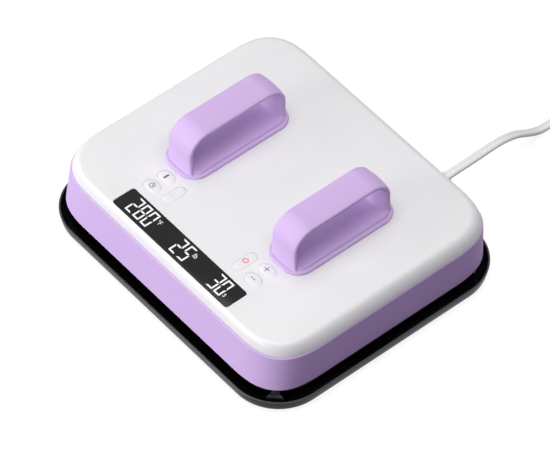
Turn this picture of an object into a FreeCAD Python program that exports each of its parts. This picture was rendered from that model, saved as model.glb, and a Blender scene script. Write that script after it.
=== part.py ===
import FreeCAD, Part
import math
import os
import Sketcher
from FreeCAD import Placement, Rotation, Vector

# Handheld heat press with two handles, parked in its stand tray.
# Millimetres. Origin: middle of the tray's footprint on the table. +X runs along the display,
# +Y to the back, where the mains cord leaves, and +Z up.

doc = FreeCAD.newDocument("HeatPress")
sheet = doc.addObject("Spreadsheet::Sheet", "Sizes")


class Size:
    """A length that carries its value and the sheet formula it comes from."""

    def __init__(self, number, formula):
        self.number = float(number)
        self.formula = formula

    def __add__(self, other):
        other = as_size(other)
        return Size(self.number + other.number, f"({self.formula} + {other.formula})")

    def __sub__(self, other):
        other = as_size(other)
        return Size(self.number - other.number, f"({self.formula} - {other.formula})")

    def __mul__(self, factor):
        return Size(self.number * factor, f"({self.formula} * {factor})")

    def __truediv__(self, factor):
        return Size(self.number / factor, f"({self.formula} / {factor})")

    def __neg__(self):
        return self * -1


def as_size(value):
    return value if isinstance(value, Size) else Size(value, f"({float(value)})")


def smallest(one, other):
    """The smaller of two lengths, such as a fillet and the wall that limits it."""
    return Size(min(one.number, other.number), f"min({one.formula}; {other.formula})")


def size(name, number):
    """One driving dimension: a row of the sheet with its alias."""
    size.row += 1
    sheet.set(f"A{size.row}", name)
    sheet.set(f"B{size.row}", str(number))
    sheet.setAlias(f"B{size.row}", name)
    return Size(number, f"Sizes.{name}")


size.row = 0

# ---------------------------------------------------------------- driving dimensions
# Heating plate, from which the housing and the tray follow.
plate_length = size("plate_length", 305)
plate_width = size("plate_width", 254)
plate_thickness = size("plate_thickness", 12)
plate_bottom = size("plate_bottom", 8)
plate_gap = size("plate_gap", 2)
plate_round = size("plate_round", 1.5)

# Housing: cover, band and skirt.
side_margin = size("side_margin", 16)
end_margin = size("end_margin", 14)
body_corner = size("body_corner", 50)
band_bottom = size("band_bottom", 24.8)
band_top = size("band_top", 66)
band_draft = size("band_draft", 2)
band_wall = size("band_wall", 2.5)
band_lip = size("band_lip", 2.2)
cover_top = size("cover_top", 79)
cover_wall = size("cover_wall", 2.5)
cover_inset = size("cover_inset", 1)
cover_edge = size("cover_edge", 9)
cover_tongue = size("cover_tongue", 6)
tongue_wall = size("tongue_wall", 1.6)
skirt_setback = size("skirt_setback", 4)
skirt_bottom = size("skirt_bottom", 12)
skirt_top = size("skirt_top", 28)
skirt_wall = size("skirt_wall", 4)
skirt_floor = size("skirt_floor", 3)
skirt_shoulder = size("skirt_shoulder", 2.8)
skirt_chamfer = size("skirt_chamfer", 1)
fit_gap = size("fit_gap", 0.25)
seat_gap = size("seat_gap", 0.1)
root = size("root", 0.5)

# Stand tray.
tray_margin_x = size("tray_margin_x", 9.5)
tray_margin_y = size("tray_margin_y", 9.7)
tray_corner = size("tray_corner", 53)
tray_flare = size("tray_flare", 1.6)
tray_rim_top = size("tray_rim_top", 15)
tray_rim_width = size("tray_rim_width", 2.2)
tray_rim_round = size("tray_rim_round", 0.8)
tray_floor = size("tray_floor", 3)
tray_slope = size("tray_slope", 9)
tray_foot_round = size("tray_foot_round", 5)
guide_wide = size("guide_wide", 15)
guide_narrow = size("guide_narrow", 7)
guide_depth = size("guide_depth", 6)
guide_inset = size("guide_inset", 6)
guide_drop = size("guide_drop", 2)
rest_length = size("rest_length", 50)
rest_width = size("rest_width", 7)
rest_spread = size("rest_spread", 42)
rest_gap = size("rest_gap", 0.5)
foot_diameter = size("foot_diameter", 20)
foot_height = size("foot_height", 2.5)
foot_drop = size("foot_drop", 1)
foot_inset = size("foot_inset", 40)
mat_inset = size("mat_inset", 3)
mat_thickness = size("mat_thickness", 1.5)

# Handles.
handle_x = size("handle_x", 77.3)
handle_inset = size("handle_inset", 147.8)
flange_length = size("flange_length", 131)
flange_width = size("flange_width", 52)
flange_corner = size("flange_corner", 19)
flange_thickness = size("flange_thickness", 3)
saddle_inset = size("saddle_inset", 4)
saddle_rise = size("saddle_rise", 2.2)
dish_width = size("dish_width", 34)
dish_depth = size("dish_depth", 2)
dish_margin = size("dish_margin", 2)
grip_length = size("grip_length", 122)
grip_width = size("grip_width", 34)
grip_height = size("grip_height", 48.5)
grip_shoulder = size("grip_shoulder", 24)
grip_crown = size("grip_crown", 1.4)
grip_edge = size("grip_edge", 3.6)
grip_belly = size("grip_belly", 11)
edge_round = size("edge_round", 1.3)
backing_thickness = size("backing_thickness", 2)
backing_margin = size("backing_margin", 2)
handle_screw = size("handle_screw", 3.3)
handle_screw_hole = size("handle_screw_hole", 4.5)
handle_head = size("handle_head", 7.2)
handle_head_height = size("handle_head_height", 2.4)
handle_screw_edge = size("handle_screw_edge", 7)
handle_bite = size("handle_bite", 8.5)

# Display and buttons.
window_length = size("window_length", 168)
window_width = size("window_width", 24.8)
window_corner = size("window_corner", 2.5)
window_inset = size("window_inset", 25.5)
window_thickness = size("window_thickness", 1.4)
window_ledge = size("window_ledge", 2.2)
pane_gap = size("pane_gap", 0.4)
button_gap = size("button_gap", 0.3)
button_proud = size("button_proud", 0.6)
button_travel = size("button_travel", 0.8)
button_flange = size("button_flange", 0.9)
button_flange_height = size("button_flange_height", 1.2)
button_flange_drop = size("button_flange_drop", 0.4)
button_stem = size("button_stem", 4)
tall_length = size("tall_length", 15.8)
tall_width = size("tall_width", 30)
tall_corner = size("tall_corner", 6)
tall_x = size("tall_x", 53.3)
tall_inset = size("tall_inset", 62.4)
oval_length = size("oval_length", 20.6)
oval_width = size("oval_width", 15)
oval_corner = size("oval_corner", 7.2)
oval_x = size("oval_x", 75.4)
oval_back_inset = size("oval_back_inset", 71)
oval_front_inset = size("oval_front_inset", 53.7)

# Boards and what sits on them.
board_thickness = size("board_thickness", 1.6)
board_length = size("board_length", 192)
board_width = size("board_width", 64)
board_inset = size("board_inset", 47.4)
board_top = size("board_top", 67.6)
board_screw_inset = size("board_screw_inset", 5)
board_screw_front = size("board_screw_front", 7)
board_screw = size("board_screw", 1.9)
board_screw_length = size("board_screw_length", 6.5)
board_corner = size("board_corner", 3)
post_diameter = size("post_diameter", 6)
switch_side = size("switch_side", 6)
switch_height = size("switch_height", 3.5)
switch_tip = size("switch_tip", 0.8)
switch_button = size("switch_button", 3.4)
buzzer_x = size("buzzer_x", 20)
buzzer_diameter = size("buzzer_diameter", 12)
buzzer_height = size("buzzer_height", 7.5)
buzzer_port = size("buzzer_port", 2)

# Fasteners and the stack over the plate.
boss_diameter = size("boss_diameter", 7)
screw_hole = size("screw_hole", 3.2)
screw_shank = size("screw_shank", 2.6)
screw_pilot = size("screw_pilot", 2.8)
screw_head = size("screw_head", 5.2)
screw_head_height = size("screw_head_height", 1.8)
screw_bite = size("screw_bite", 15)
pilot_spare = size("pilot_spare", 3)
side_screw_y = size("side_screw_y", 80)
end_screw_x = size("end_screw_x", 92)
element_diameter = size("element_diameter", 7)
element_pitch = size("element_pitch", 39)
element_inset = size("element_inset", 40)
blanket_thickness = size("blanket_thickness", 8)
shield_thickness = size("shield_thickness", 1)
stack_inset = size("stack_inset", 5)
standoff_diameter = size("standoff_diameter", 8)
chassis_bottom = size("chassis_bottom", 44)
chassis_thickness = size("chassis_thickness", 1.5)
cell_x = size("cell_x", 115)
cell_y = size("cell_y", 88)
cell_length = size("cell_length", 34)
cell_width = size("cell_width", 12)
cell_foot = size("cell_foot", 7)
chassis_window_length = size("chassis_window_length", 70)
chassis_window_width = size("chassis_window_width", 90)

# Mains board, its parts placed from the board's middle, and the parts on the plate.
power_x = size("power_x", -95)
power_y = size("power_y", 62)
power_length = size("power_length", 96)
power_width = size("power_width", 66)
power_lift = size("power_lift", 5)
power_post = size("power_post", 5)
power_post_inset = size("power_post_inset", 5)
relay_length = size("relay_length", 28)
relay_width = size("relay_width", 12.5)
relay_height = size("relay_height", 15)
relay_x = size("relay_x", -28)
relay_y = size("relay_y", 20)
core_length = size("core_length", 32)
core_width = size("core_width", 26)
core_height = size("core_height", 14)
winding_length = size("winding_length", 20)
winding_width = size("winding_width", 32)
winding_height = size("winding_height", 16)
transformer_x = size("transformer_x", 2)
transformer_y = size("transformer_y", 12)
sink_length = size("sink_length", 40)
sink_base = size("sink_base", 3)
sink_height = size("sink_height", 17)
sink_x = size("sink_x", -22)
sink_y = size("sink_y", -24)
fin_thickness = size("fin_thickness", 1.6)
fin_width = size("fin_width", 10)
fin_pitch = size("fin_pitch", 6)
capacitor_diameter = size("capacitor_diameter", 14)
capacitor_height = size("capacitor_height", 16)
capacitor_x = size("capacitor_x", 32)
capacitor_y = size("capacitor_y", -16)
terminal_length = size("terminal_length", 34)
terminal_width = size("terminal_width", 20)
terminal_height = size("terminal_height", 8)
terminal_offset = size("terminal_offset", 4)
terminal_setback = size("terminal_setback", 24)
ridge_width = size("ridge_width", 10)
ridge_height = size("ridge_height", 15)
clamp_length = size("clamp_length", 26)
clamp_width = size("clamp_width", 9)
clamp_bar = size("clamp_bar", 4)
clamp_lift = size("clamp_lift", 5)
clamp_foot = size("clamp_foot", 5)
clamp_setback = size("clamp_setback", 4)
thermostat_diameter = size("thermostat_diameter", 16)
thermostat_height = size("thermostat_height", 7)
ears_length = size("ears_length", 30)
ears_width = size("ears_width", 8)
ears_thickness = size("ears_thickness", 1)
sensor_diameter = size("sensor_diameter", 5)
sensor_length = size("sensor_length", 12)
sensor_x = size("sensor_x", 30)
tag_length = size("tag_length", 10)
tag_width = size("tag_width", 8)
tag_offset = size("tag_offset", 6)
fuse_diameter = size("fuse_diameter", 4.4)
fuse_length = size("fuse_length", 26)

# Mains cord.
cord_diameter = size("cord_diameter", 9.6)
gland_x = size("gland_x", 67.5)
gland_z = size("gland_z", 36)
gland_hole = size("gland_hole", 12.5)
gland_fit = size("gland_fit", 0.1)
gland_collar = size("gland_collar", 15.6)
relief_length = size("relief_length", 20)
relief_tip = size("relief_tip", 10.8)
relief_inner = size("relief_inner", 6)
collar_thickness = size("collar_thickness", 2)
plug_length = size("plug_length", 44)
plug_relief = size("plug_relief", 18)
plug_neck_length = size("plug_neck_length", 10.5)
plug_neck_height = size("plug_neck_height", 7)
plug_neck_corner = size("plug_neck_corner", 2.5)
plug_foot_length = size("plug_foot_length", 16)
plug_foot_height = size("plug_foot_height", 13)
plug_foot_corner = size("plug_foot_corner", 4.5)
plug_back_length = size("plug_back_length", 19)
plug_back_height = size("plug_back_height", 18)
plug_face_length = size("plug_face_length", 26)
plug_face_height = size("plug_face_height", 23.6)
plug_corner = size("plug_corner", 6)
pin_spacing = size("pin_spacing", 12.7)
pin_length = size("pin_length", 17.5)
pin_width = size("pin_width", 6.3)
pin_thickness = size("pin_thickness", 1.5)

doc.recompute()

# ---------------------------------------------------------------- derived sizes
body_length = plate_length + side_margin * 2
body_width = plate_width + end_margin * 2
plate_corner = body_corner - side_margin
front_edge = -(body_width / 2)
handle_y = front_edge + handle_inset
window_y = front_edge + window_inset
tall_y = front_edge + tall_inset
oval_back_y = front_edge + oval_back_inset
oval_front_y = front_edge + oval_front_inset
board_y = front_edge + board_inset
tray_length = body_length + tray_margin_x * 2
tray_width = body_width + tray_margin_y * 2
tray_floor_top = foot_drop + tray_floor
skirt_length = body_length - skirt_setback * 2
skirt_width = body_width - skirt_setback * 2
skirt_corner = body_corner - skirt_setback
plate_top = plate_bottom + plate_thickness
cover_under = cover_top - cover_wall
cover_length = body_length - cover_inset * 2
cover_width = body_width - cover_inset * 2
cover_corner = body_corner - cover_inset
board_bottom = board_top - board_thickness
chassis_top = chassis_bottom + chassis_thickness
power_bottom = chassis_top + power_lift
power_top = power_bottom + board_thickness
screw_x = plate_length / 2 + plate_gap + boss_diameter / 2
screw_y = plate_width / 2 + plate_gap + boss_diameter / 2
HOUSING_SCREWS = [
    (screw_x, side_screw_y), (screw_x, -side_screw_y), (-screw_x, side_screw_y), (-screw_x, -side_screw_y),
    (end_screw_x, screw_y), (end_screw_x, -screw_y), (-end_screw_x, screw_y), (-end_screw_x, -screw_y),
]
BUTTONS = {
    "button_power": (-oval_x, oval_front_y, "oval"),
    "button_timer": (-oval_x, oval_back_y, "oval"),
    "button_mode": (-tall_x, tall_y, "tall"),
    "button_pressure": (tall_x, tall_y, "tall"),
    "button_plus": (oval_x, oval_back_y, "oval"),
    "button_minus": (oval_x, oval_front_y, "oval"),
}
BUTTON_FORMS = {
    "oval": (oval_length, oval_width, oval_corner),
    "tall": (tall_length, tall_width, tall_corner),
}

# ---------------------------------------------------------------- drawing helpers
nodes = []


def bind(thing, prop, value):
    thing.setExpression(prop, as_size(value).formula)


def new_body(label, x=0, y=0, z=0):
    """A PartDesign body that becomes one node, with its place bound to the sheet."""
    body = doc.addObject("PartDesign::Body", label)
    body.Label = label
    for axis, value in zip("xyz", (x, y, z)):
        bind(body, f"Placement.Base.{axis}", value)
    nodes.append(body)
    return body


def new_sketch(body, name, role="XY_Plane", shift=(0, 0, 0)):
    """A sketch on one of the body's own planes. shift is in that plane's axes, the normal last."""
    sketch = body.newObject("Sketcher::SketchObject", name)
    plane = next(item for item in body.Origin.OriginFeatures if item.Role == role)
    sketch.AttachmentSupport = [(plane, "")]
    sketch.MapMode = "FlatFace"
    for axis, value in zip("xyz", shift):
        bind(sketch, f"AttachmentOffset.Base.{axis}", value)
    return sketch


def constrain(sketch, kind, name, value, *where):
    index = sketch.addConstraint(Sketcher.Constraint(kind, *where, value.number))
    sketch.renameConstraint(index, name)
    bind(sketch, f"Constraints.{name}", value)


def pin_point(sketch, geometry, end, x, y):
    """Hold one end of a line or arc, or a centre, at sheet-driven coordinates."""
    for kind, axis, value in (("DistanceX", -2, x), ("DistanceY", -1, y)):
        value = as_size(value)
        if value.number == 0:
            sketch.addConstraint(Sketcher.Constraint("PointOnObject", geometry, end, axis))
        else:
            constrain(sketch, kind, f"{kind}_{geometry}_{end}", value, -1, 1, geometry, end)


def arc_between(start, end, radius):
    """The short arc from start to end. radius > 0 turns left, < 0 turns right."""
    chord = end - start
    middle = (start + end) * 0.5
    left = Vector(-chord.y, chord.x, 0).normalize()
    rise = math.sqrt(max(radius ** 2 - (chord.Length / 2) ** 2, 0))
    centre = middle + left * math.copysign(rise, radius)
    first, last = (start, end) if radius > 0 else (end, start)
    angles = [math.atan2(p.y - centre.y, p.x - centre.x) for p in (first, last)]
    if angles[1] < angles[0]:
        angles[1] += 2 * math.pi
    circle = Part.Circle(centre, Vector(0, 0, 1), abs(radius))
    return Part.ArcOfCircle(circle, angles[0], angles[1])


def outline(sketch, corners, closed=True):
    """Lines and arcs through the corners: (x, y), or (x, y, radius) where an arc leads to that corner."""
    count = len(corners)
    first = sketch.GeometryCount
    ends = []
    steps = range(count) if closed else range(1, count)
    for step in steps:
        start = corners[step - 1]
        end = corners[step]
        here = Vector(as_size(start[0]).number, as_size(start[1]).number, 0)
        there = Vector(as_size(end[0]).number, as_size(end[1]).number, 0)
        radius = as_size(end[2]) if len(end) > 2 else None
        if radius is None:
            geometry = sketch.addGeometry(Part.LineSegment(here, there), False)
            ends.append((geometry, 1, 2))
        else:
            geometry = sketch.addGeometry(arc_between(here, there, radius.number), False)
            left = radius.number > 0
            ends.append((geometry, 1, 2) if left else (geometry, 2, 1))
            bend = radius if left else -radius
            constrain(sketch, "Radius", f"bend_{geometry}", bend, geometry)
        pin_point(sketch, geometry, ends[-1][2], end[0], end[1])
    if not closed:
        pin_point(sketch, first, ends[0][1], corners[0][0], corners[0][1])
    pairs = zip(ends, ends[1:] + ends[:1]) if closed else zip(ends, ends[1:])
    for one, other in pairs:
        sketch.addConstraint(Sketcher.Constraint("Coincident", one[0], one[2], other[0], other[1]))


def rounded(sketch, length, width, corner, x=0, y=0):
    """A rounded rectangle about (x, y)."""
    x = as_size(x)
    y = as_size(y)
    right, left = x + length / 2, x - length / 2
    back, front = y + width / 2, y - width / 2
    outline(sketch, [
        (right - corner, front), (right, front + corner, corner), (right, back - corner),
        (right - corner, back, corner), (left + corner, back), (left, back - corner, corner),
        (left, front + corner), (left + corner, front, corner),
    ])


def circles(sketch, diameter, centres):
    for x, y in centres:
        middle = Vector(as_size(x).number, as_size(y).number, 0)
        geometry = sketch.addGeometry(Part.Circle(middle, Vector(0, 0, 1), diameter.number / 2), False)
        constrain(sketch, "Diameter", f"across_{geometry}", diameter, geometry)
        pin_point(sketch, geometry, 3, x, y)


def pad(body, sketch, height, name="Pad", midplane=False):
    feature = body.newObject("PartDesign::Pad", name)
    feature.Profile = sketch
    feature.Midplane = midplane
    bind(feature, "Length", height)
    return feature


def pocket(body, sketch, depth, name="Pocket", upward=False, midplane=False):
    """A cut below the sketch, or above it where upward is set."""
    feature = body.newObject("PartDesign::Pocket", name)
    feature.Profile = sketch
    feature.Reversed = upward
    feature.Midplane = midplane
    bind(feature, "Length", depth)
    return feature


def loft(body, lower, upper, name="Loft", cut=False):
    feature = body.newObject("PartDesign::SubtractiveLoft" if cut else "PartDesign::AdditiveLoft", name)
    feature.Profile = lower
    feature.Sections = [upper]
    feature.Ruled = True
    return feature


def dress(body, kind, base, wanted, amount):
    """A Fillet or Chamfer on the edges that wanted() picks by their bounding box."""
    doc.recompute()
    edges = [f"Edge{i + 1}" for i, edge in enumerate(base.Shape.Edges) if wanted(edge.BoundBox)]
    if not edges:
        raise ValueError(f"{body.Label}: no edge found for the {kind}")
    feature = body.newObject(f"PartDesign::{kind}", kind)
    feature.Base = (base, edges)
    bind(feature, "Radius" if kind == "Fillet" else "Size", amount)
    return feature


def shell(body, base, heights, wall):
    """Hollows a solid to a wall of even thickness, open at the flat faces at the given heights."""
    doc.recompute()
    flat = [level(height) for height in heights]
    faces = []
    for i, face in enumerate(base.Shape.Faces):
        if any(test(face.BoundBox) for test in flat):
            faces.append(f"Face{i + 1}")
    feature = body.newObject("PartDesign::Thickness", "Shell")
    feature.Base = (base, faces)
    feature.Reversed = True
    bind(feature, "Value", wall)
    return feature


def level(height):
    """Picks the edges that lie flat at one height."""
    return lambda box: abs(box.ZMin - height.number) < 1e-4 and abs(box.ZMax - height.number) < 1e-4


def outer_level(height, half_length, half_width):
    """Picks the flat edges at one height that belong to a large outline of that half size."""
    def wanted(box):
        reach = max(abs(box.XMin), abs(box.XMax)) / half_length.number
        depth = max(abs(box.YMin), abs(box.YMax)) / half_width.number
        return level(height)(box) and max(reach, depth) > 0.999
    return wanted


def place(thing, x, y, z):
    for axis, value in zip("xyz", (x, y, z)):
        bind(thing, f"Placement.Base.{axis}", value)


def block(name, length, width, height, x, y, z):
    """A box on (x, y) with its bottom at z."""
    thing = doc.addObject("Part::Box", name)
    for prop, value in (("Length", length), ("Width", width), ("Height", height)):
        bind(thing, prop, value)
    place(thing, as_size(x) - as_size(length) / 2, as_size(y) - as_size(width) / 2, z)
    return thing


def rod(name, diameter, height, x, y, z, turn=None):
    """A cylinder from (x, y, z) upward, or along the axis that turn swings it to."""
    thing = doc.addObject("Part::Cylinder", name)
    bind(thing, "Radius", as_size(diameter) / 2)
    bind(thing, "Height", height)
    if turn:
        thing.Placement.Rotation = turn
    place(thing, x, y, z)
    return thing


def group(label, things):
    """Several separate solids that share one node."""
    thing = doc.addObject("Part::Compound", label)
    thing.Label = label
    thing.Links = things
    nodes.append(thing)
    return thing


def joined(label, things):
    """One solid made of touching primitives."""
    thing = doc.addObject("Part::MultiFuse", label)
    thing.Label = label
    thing.Shapes = things
    return thing


def cut_away(label, base, tool):
    thing = doc.addObject("Part::Cut", label)
    thing.Label = label
    thing.Base = base
    thing.Tool = tool
    return thing


def node(thing):
    nodes.append(thing)
    return thing


ALONG_Y = Rotation(Vector(1, 0, 0), -90)
ALONG_X = Rotation(Vector(0, 1, 0), 90)


# ---------------------------------------------------------------- stand tray
def make_base_tray():
    body = new_body("base_tray")
    low = new_sketch(body, "Footprint", shift=(0, 0, foot_drop))
    rounded(low, tray_length - tray_flare * 2, tray_width - tray_flare * 2, tray_corner - tray_flare)
    high = new_sketch(body, "RimOutline", shift=(0, 0, tray_rim_top))
    rounded(high, tray_length, tray_width, tray_corner)
    loft(body, low, high, "OuterWall")
    inner_length = tray_length - tray_rim_width * 2
    inner_width = tray_width - tray_rim_width * 2
    inner_corner = tray_corner - tray_rim_width
    mouth = new_sketch(body, "Mouth", shift=(0, 0, tray_rim_top))
    rounded(mouth, inner_length, inner_width, inner_corner)
    floor = new_sketch(body, "Floor", shift=(0, 0, tray_floor_top))
    rounded(floor, inner_length - tray_slope * 2, inner_width - tray_slope * 2, inner_corner - tray_slope)
    dished = loft(body, floor, mouth, "Dish", cut=True)
    rests = new_sketch(body, "Rests", shift=(0, 0, foot_drop + tray_floor / 2))
    rest_x = plate_length / 2 + plate_gap + rest_width / 2 + rest_gap
    for side_x in (rest_x, -rest_x):
        for side_y in (rest_spread, -rest_spread):
            rounded(rests, rest_width, rest_length, rest_width / 2 - seat_gap, side_x, side_y)
    pad(body, rests, skirt_bottom - foot_drop - tray_floor / 2, "RestPads")
    guides = new_sketch(body, "Guides", shift=(0, 0, foot_drop + tray_floor / 2))
    for side_x, side_y in ((1, 1), (1, -1), (-1, 1), (-1, -1)):
        outline(guides, guide_corners(side_x, side_y))
    pad(body, guides, skirt_bottom - guide_drop - foot_drop - tray_floor / 2, "GuidePads")
    seats = new_sketch(body, "FootSeats", shift=(0, 0, foot_drop))
    circles(seats, foot_diameter + fit_gap * 2, foot_centres())
    seated = pocket(body, seats, foot_height - foot_drop, "FootPockets", upward=True)
    foot = outer_level(foot_drop, tray_length / 2 - tray_flare, tray_width / 2 - tray_flare)
    based = dress(body, "Fillet", seated, foot, tray_foot_round)
    top = outer_level(tray_rim_top, tray_length / 2, tray_width / 2)
    body.Tip = dress(body, "Fillet", based, top, tray_rim_round)


def guide_corners(side_x, side_y):
    """A wedge on the diagonal of a tray corner, its wide side outwards."""
    diagonal = math.sqrt(0.5)
    bulge = (tray_corner - tray_rim_width) * (1 - diagonal)
    x = tray_length / 2 - tray_rim_width - bulge - guide_inset * diagonal
    y = tray_width / 2 - tray_rim_width - bulge - guide_inset * diagonal
    wide = guide_wide * (diagonal / 2)
    narrow = guide_narrow * (diagonal / 2)
    back = guide_depth * diagonal
    corners = [(wide, -wide), (-wide, wide), (-narrow - back, narrow - back), (narrow - back, -narrow - back)]
    return [((x + dx) * side_x, (y + dy) * side_y) for dx, dy in corners]


def foot_centres():
    x = tray_length / 2 - foot_inset
    y = tray_width / 2 - foot_inset
    return [(x, y), (x, -y), (-x, y), (-x, -y)]


def make_tray_feet():
    feet = [rod(f"Foot{i}", foot_diameter, foot_height, x, y, 0) for i, (x, y) in enumerate(foot_centres())]
    group("tray_feet", feet)


def make_tray_mat():
    body = new_body("tray_mat")
    sketch = new_sketch(body, "MatOutline", shift=(0, 0, tray_floor_top))
    rounded(sketch, plate_length - mat_inset * 2, plate_width - mat_inset * 2, plate_corner)
    pad(body, sketch, mat_thickness, "Mat")


# ---------------------------------------------------------------- housing
def make_lower_skirt():
    body = new_body("lower_skirt")
    outside = new_sketch(body, "Outside", shift=(0, 0, skirt_bottom))
    rounded(outside, skirt_length, skirt_width, skirt_corner)
    pad(body, outside, skirt_top - skirt_bottom, "Frame")
    shoulder = new_sketch(body, "Shoulder", shift=(0, 0, skirt_top - skirt_shoulder))
    drop = (band_wall + fit_gap) * 2
    rounded(shoulder, body_length - drop, body_width - drop, body_corner - band_wall - fit_gap)
    pad(body, shoulder, skirt_shoulder, "ShoulderRing")
    well = new_sketch(body, "Well", shift=(0, 0, skirt_top))
    inner_corner = skirt_corner - skirt_wall
    rounded(well, skirt_length - skirt_wall * 2, skirt_width - skirt_wall * 2, inner_corner)
    pocket(body, well, skirt_top - skirt_bottom - skirt_floor, "WellCut")
    posts = new_sketch(body, "Posts", shift=(0, 0, skirt_bottom + skirt_floor / 2))
    circles(posts, boss_diameter, HOUSING_SCREWS)
    pad(body, posts, chassis_bottom - skirt_bottom - skirt_floor / 2, "ScrewPosts")
    opening = new_sketch(body, "PlateOpening", shift=(0, 0, skirt_bottom))
    rounded(opening, plate_length + plate_gap * 2, plate_width + plate_gap * 2, plate_corner + plate_gap)
    pocket(body, opening, skirt_floor + root, "OpeningCut", upward=True)
    holes = new_sketch(body, "ScrewHoles", shift=(0, 0, skirt_bottom))
    circles(holes, screw_hole, HOUSING_SCREWS)
    pocket(body, holes, chassis_bottom - skirt_bottom + root, "HoleCuts", upward=True)
    heads = new_sketch(body, "HeadSeats", shift=(0, 0, skirt_bottom))
    circles(heads, screw_head + fit_gap * 2, HOUSING_SCREWS)
    last = pocket(body, heads, screw_head_height + seat_gap, "HeadCuts", upward=True)
    bottom = outer_level(skirt_bottom, skirt_length / 2, skirt_width / 2)
    body.Tip = dress(body, "Chamfer", last, bottom, skirt_chamfer)


def make_side_band():
    body = new_body("side_band")
    top = new_sketch(body, "UpperOutline", shift=(0, 0, band_top))
    rounded(top, body_length, body_width, body_corner)
    height = band_top - band_bottom
    outside = pad(body, top, height, "Outside")
    outside.Reversed = True
    outside.setExpression("TaperAngle", f"atan({band_draft.formula} / {height.formula})")
    dress(body, "Fillet", outside, level(band_top), band_lip)
    inside = new_sketch(body, "Inside", shift=(0, 0, band_bottom))
    wall = band_wall * 2
    rounded(inside, body_length - wall, body_width - wall, body_corner - band_wall)
    pocket(body, inside, band_top - band_bottom + root, "Hollow", upward=True)
    gland = new_sketch(body, "GlandHole", "XZ_Plane", (gland_x, gland_z, -(body_width / 2)))
    circles(gland, gland_hole, [(0, 0)])
    body.Tip = pocket(body, gland, (band_wall + band_draft) * 4, "GlandCut", midplane=True)


def make_top_cover():
    body = new_body("top_cover")
    base = new_sketch(body, "Outline", shift=(0, 0, band_top))
    rounded(base, cover_length, cover_width, cover_corner)
    height = cover_top - band_top
    solid = pad(body, base, height, "Block")
    edge = smallest(cover_edge, height - root)
    rolled = dress(body, "Fillet", solid, level(cover_top), edge)
    shell(body, rolled, [band_top], cover_wall)
    tongue = new_sketch(body, "Tongue", shift=(0, 0, band_top - cover_tongue))
    drop = (band_wall + fit_gap) * 2
    tongue_length = body_length - drop
    tongue_width = body_width - drop
    tongue_corner = body_corner - band_wall - fit_gap
    rounded(tongue, tongue_length, tongue_width, tongue_corner)
    thin = tongue_wall * 2
    rounded(tongue, tongue_length - thin, tongue_width - thin, tongue_corner - tongue_wall)
    pad(body, tongue, cover_tongue + root, "TongueRing")
    bosses = new_sketch(body, "Bosses", shift=(0, 0, chassis_top))
    circles(bosses, boss_diameter - fit_gap * 2, HOUSING_SCREWS)
    pad(body, bosses, cover_under - chassis_top + seat_gap, "ScrewBosses")
    posts = new_sketch(body, "BoardPosts", shift=(0, 0, board_top))
    circles(posts, post_diameter, board_screws())
    pad(body, posts, cover_under - board_top + root, "PostPads")
    bores = new_sketch(body, "BossBores", shift=(0, 0, chassis_top))
    circles(bores, screw_pilot, HOUSING_SCREWS)
    pocket(body, bores, screw_bite + pilot_spare, "BoreCuts", upward=True)
    pilots = new_sketch(body, "PostPilots", shift=(0, 0, board_top))
    circles(pilots, board_screw + seat_gap, board_screws())
    pocket(body, pilots, board_screw_length, "PilotCuts", upward=True)
    recess = new_sketch(body, "WindowRecess", shift=(0, window_y, cover_top))
    rounded(recess, window_length + fit_gap * 2, window_width + fit_gap * 2, window_corner + fit_gap)
    pocket(body, recess, window_thickness + seat_gap, "RecessCut")
    opening = new_sketch(body, "WindowOpening", shift=(0, window_y, cover_top))
    ledge = window_ledge * 2
    rounded(opening, window_length - ledge, window_width - ledge, fit_gap * 4)
    pocket(body, opening, cover_wall + root, "OpeningCut")
    holes = new_sketch(body, "ButtonHoles", shift=(0, 0, cover_top))
    for x, y, form in BUTTONS.values():
        length, width, corner = BUTTON_FORMS[form]
        rounded(holes, length, width, corner, x, y)
    pocket(body, holes, cover_wall + root, "ButtonCuts")
    fixings = new_sketch(body, "HandleHoles", shift=(0, 0, cover_top))
    circles(fixings, handle_screw_hole, handle_fixings())
    body.Tip = pocket(body, fixings, cover_wall + root, "HandleCuts")


def board_screws():
    x = board_length / 2 - board_screw_inset
    back = board_y + board_width / 2 - board_screw_inset
    front = board_y - board_width / 2 + board_screw_front
    return [(x, back), (-x, back), (x, front), (-x, front)]


def screws_in_legs():
    """Two screws run up into each leg of a handle."""
    across = grip_width / 2 - handle_screw_edge
    along = grip_length / 2 - grip_belly / 2
    return [(dx, dy) for dx in (across, -across) for dy in (along, -along)]


def handle_fixings():
    return [(handle_x * side + dx, handle_y + dy) for side in (1, -1) for dx, dy in screws_in_legs()]


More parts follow.
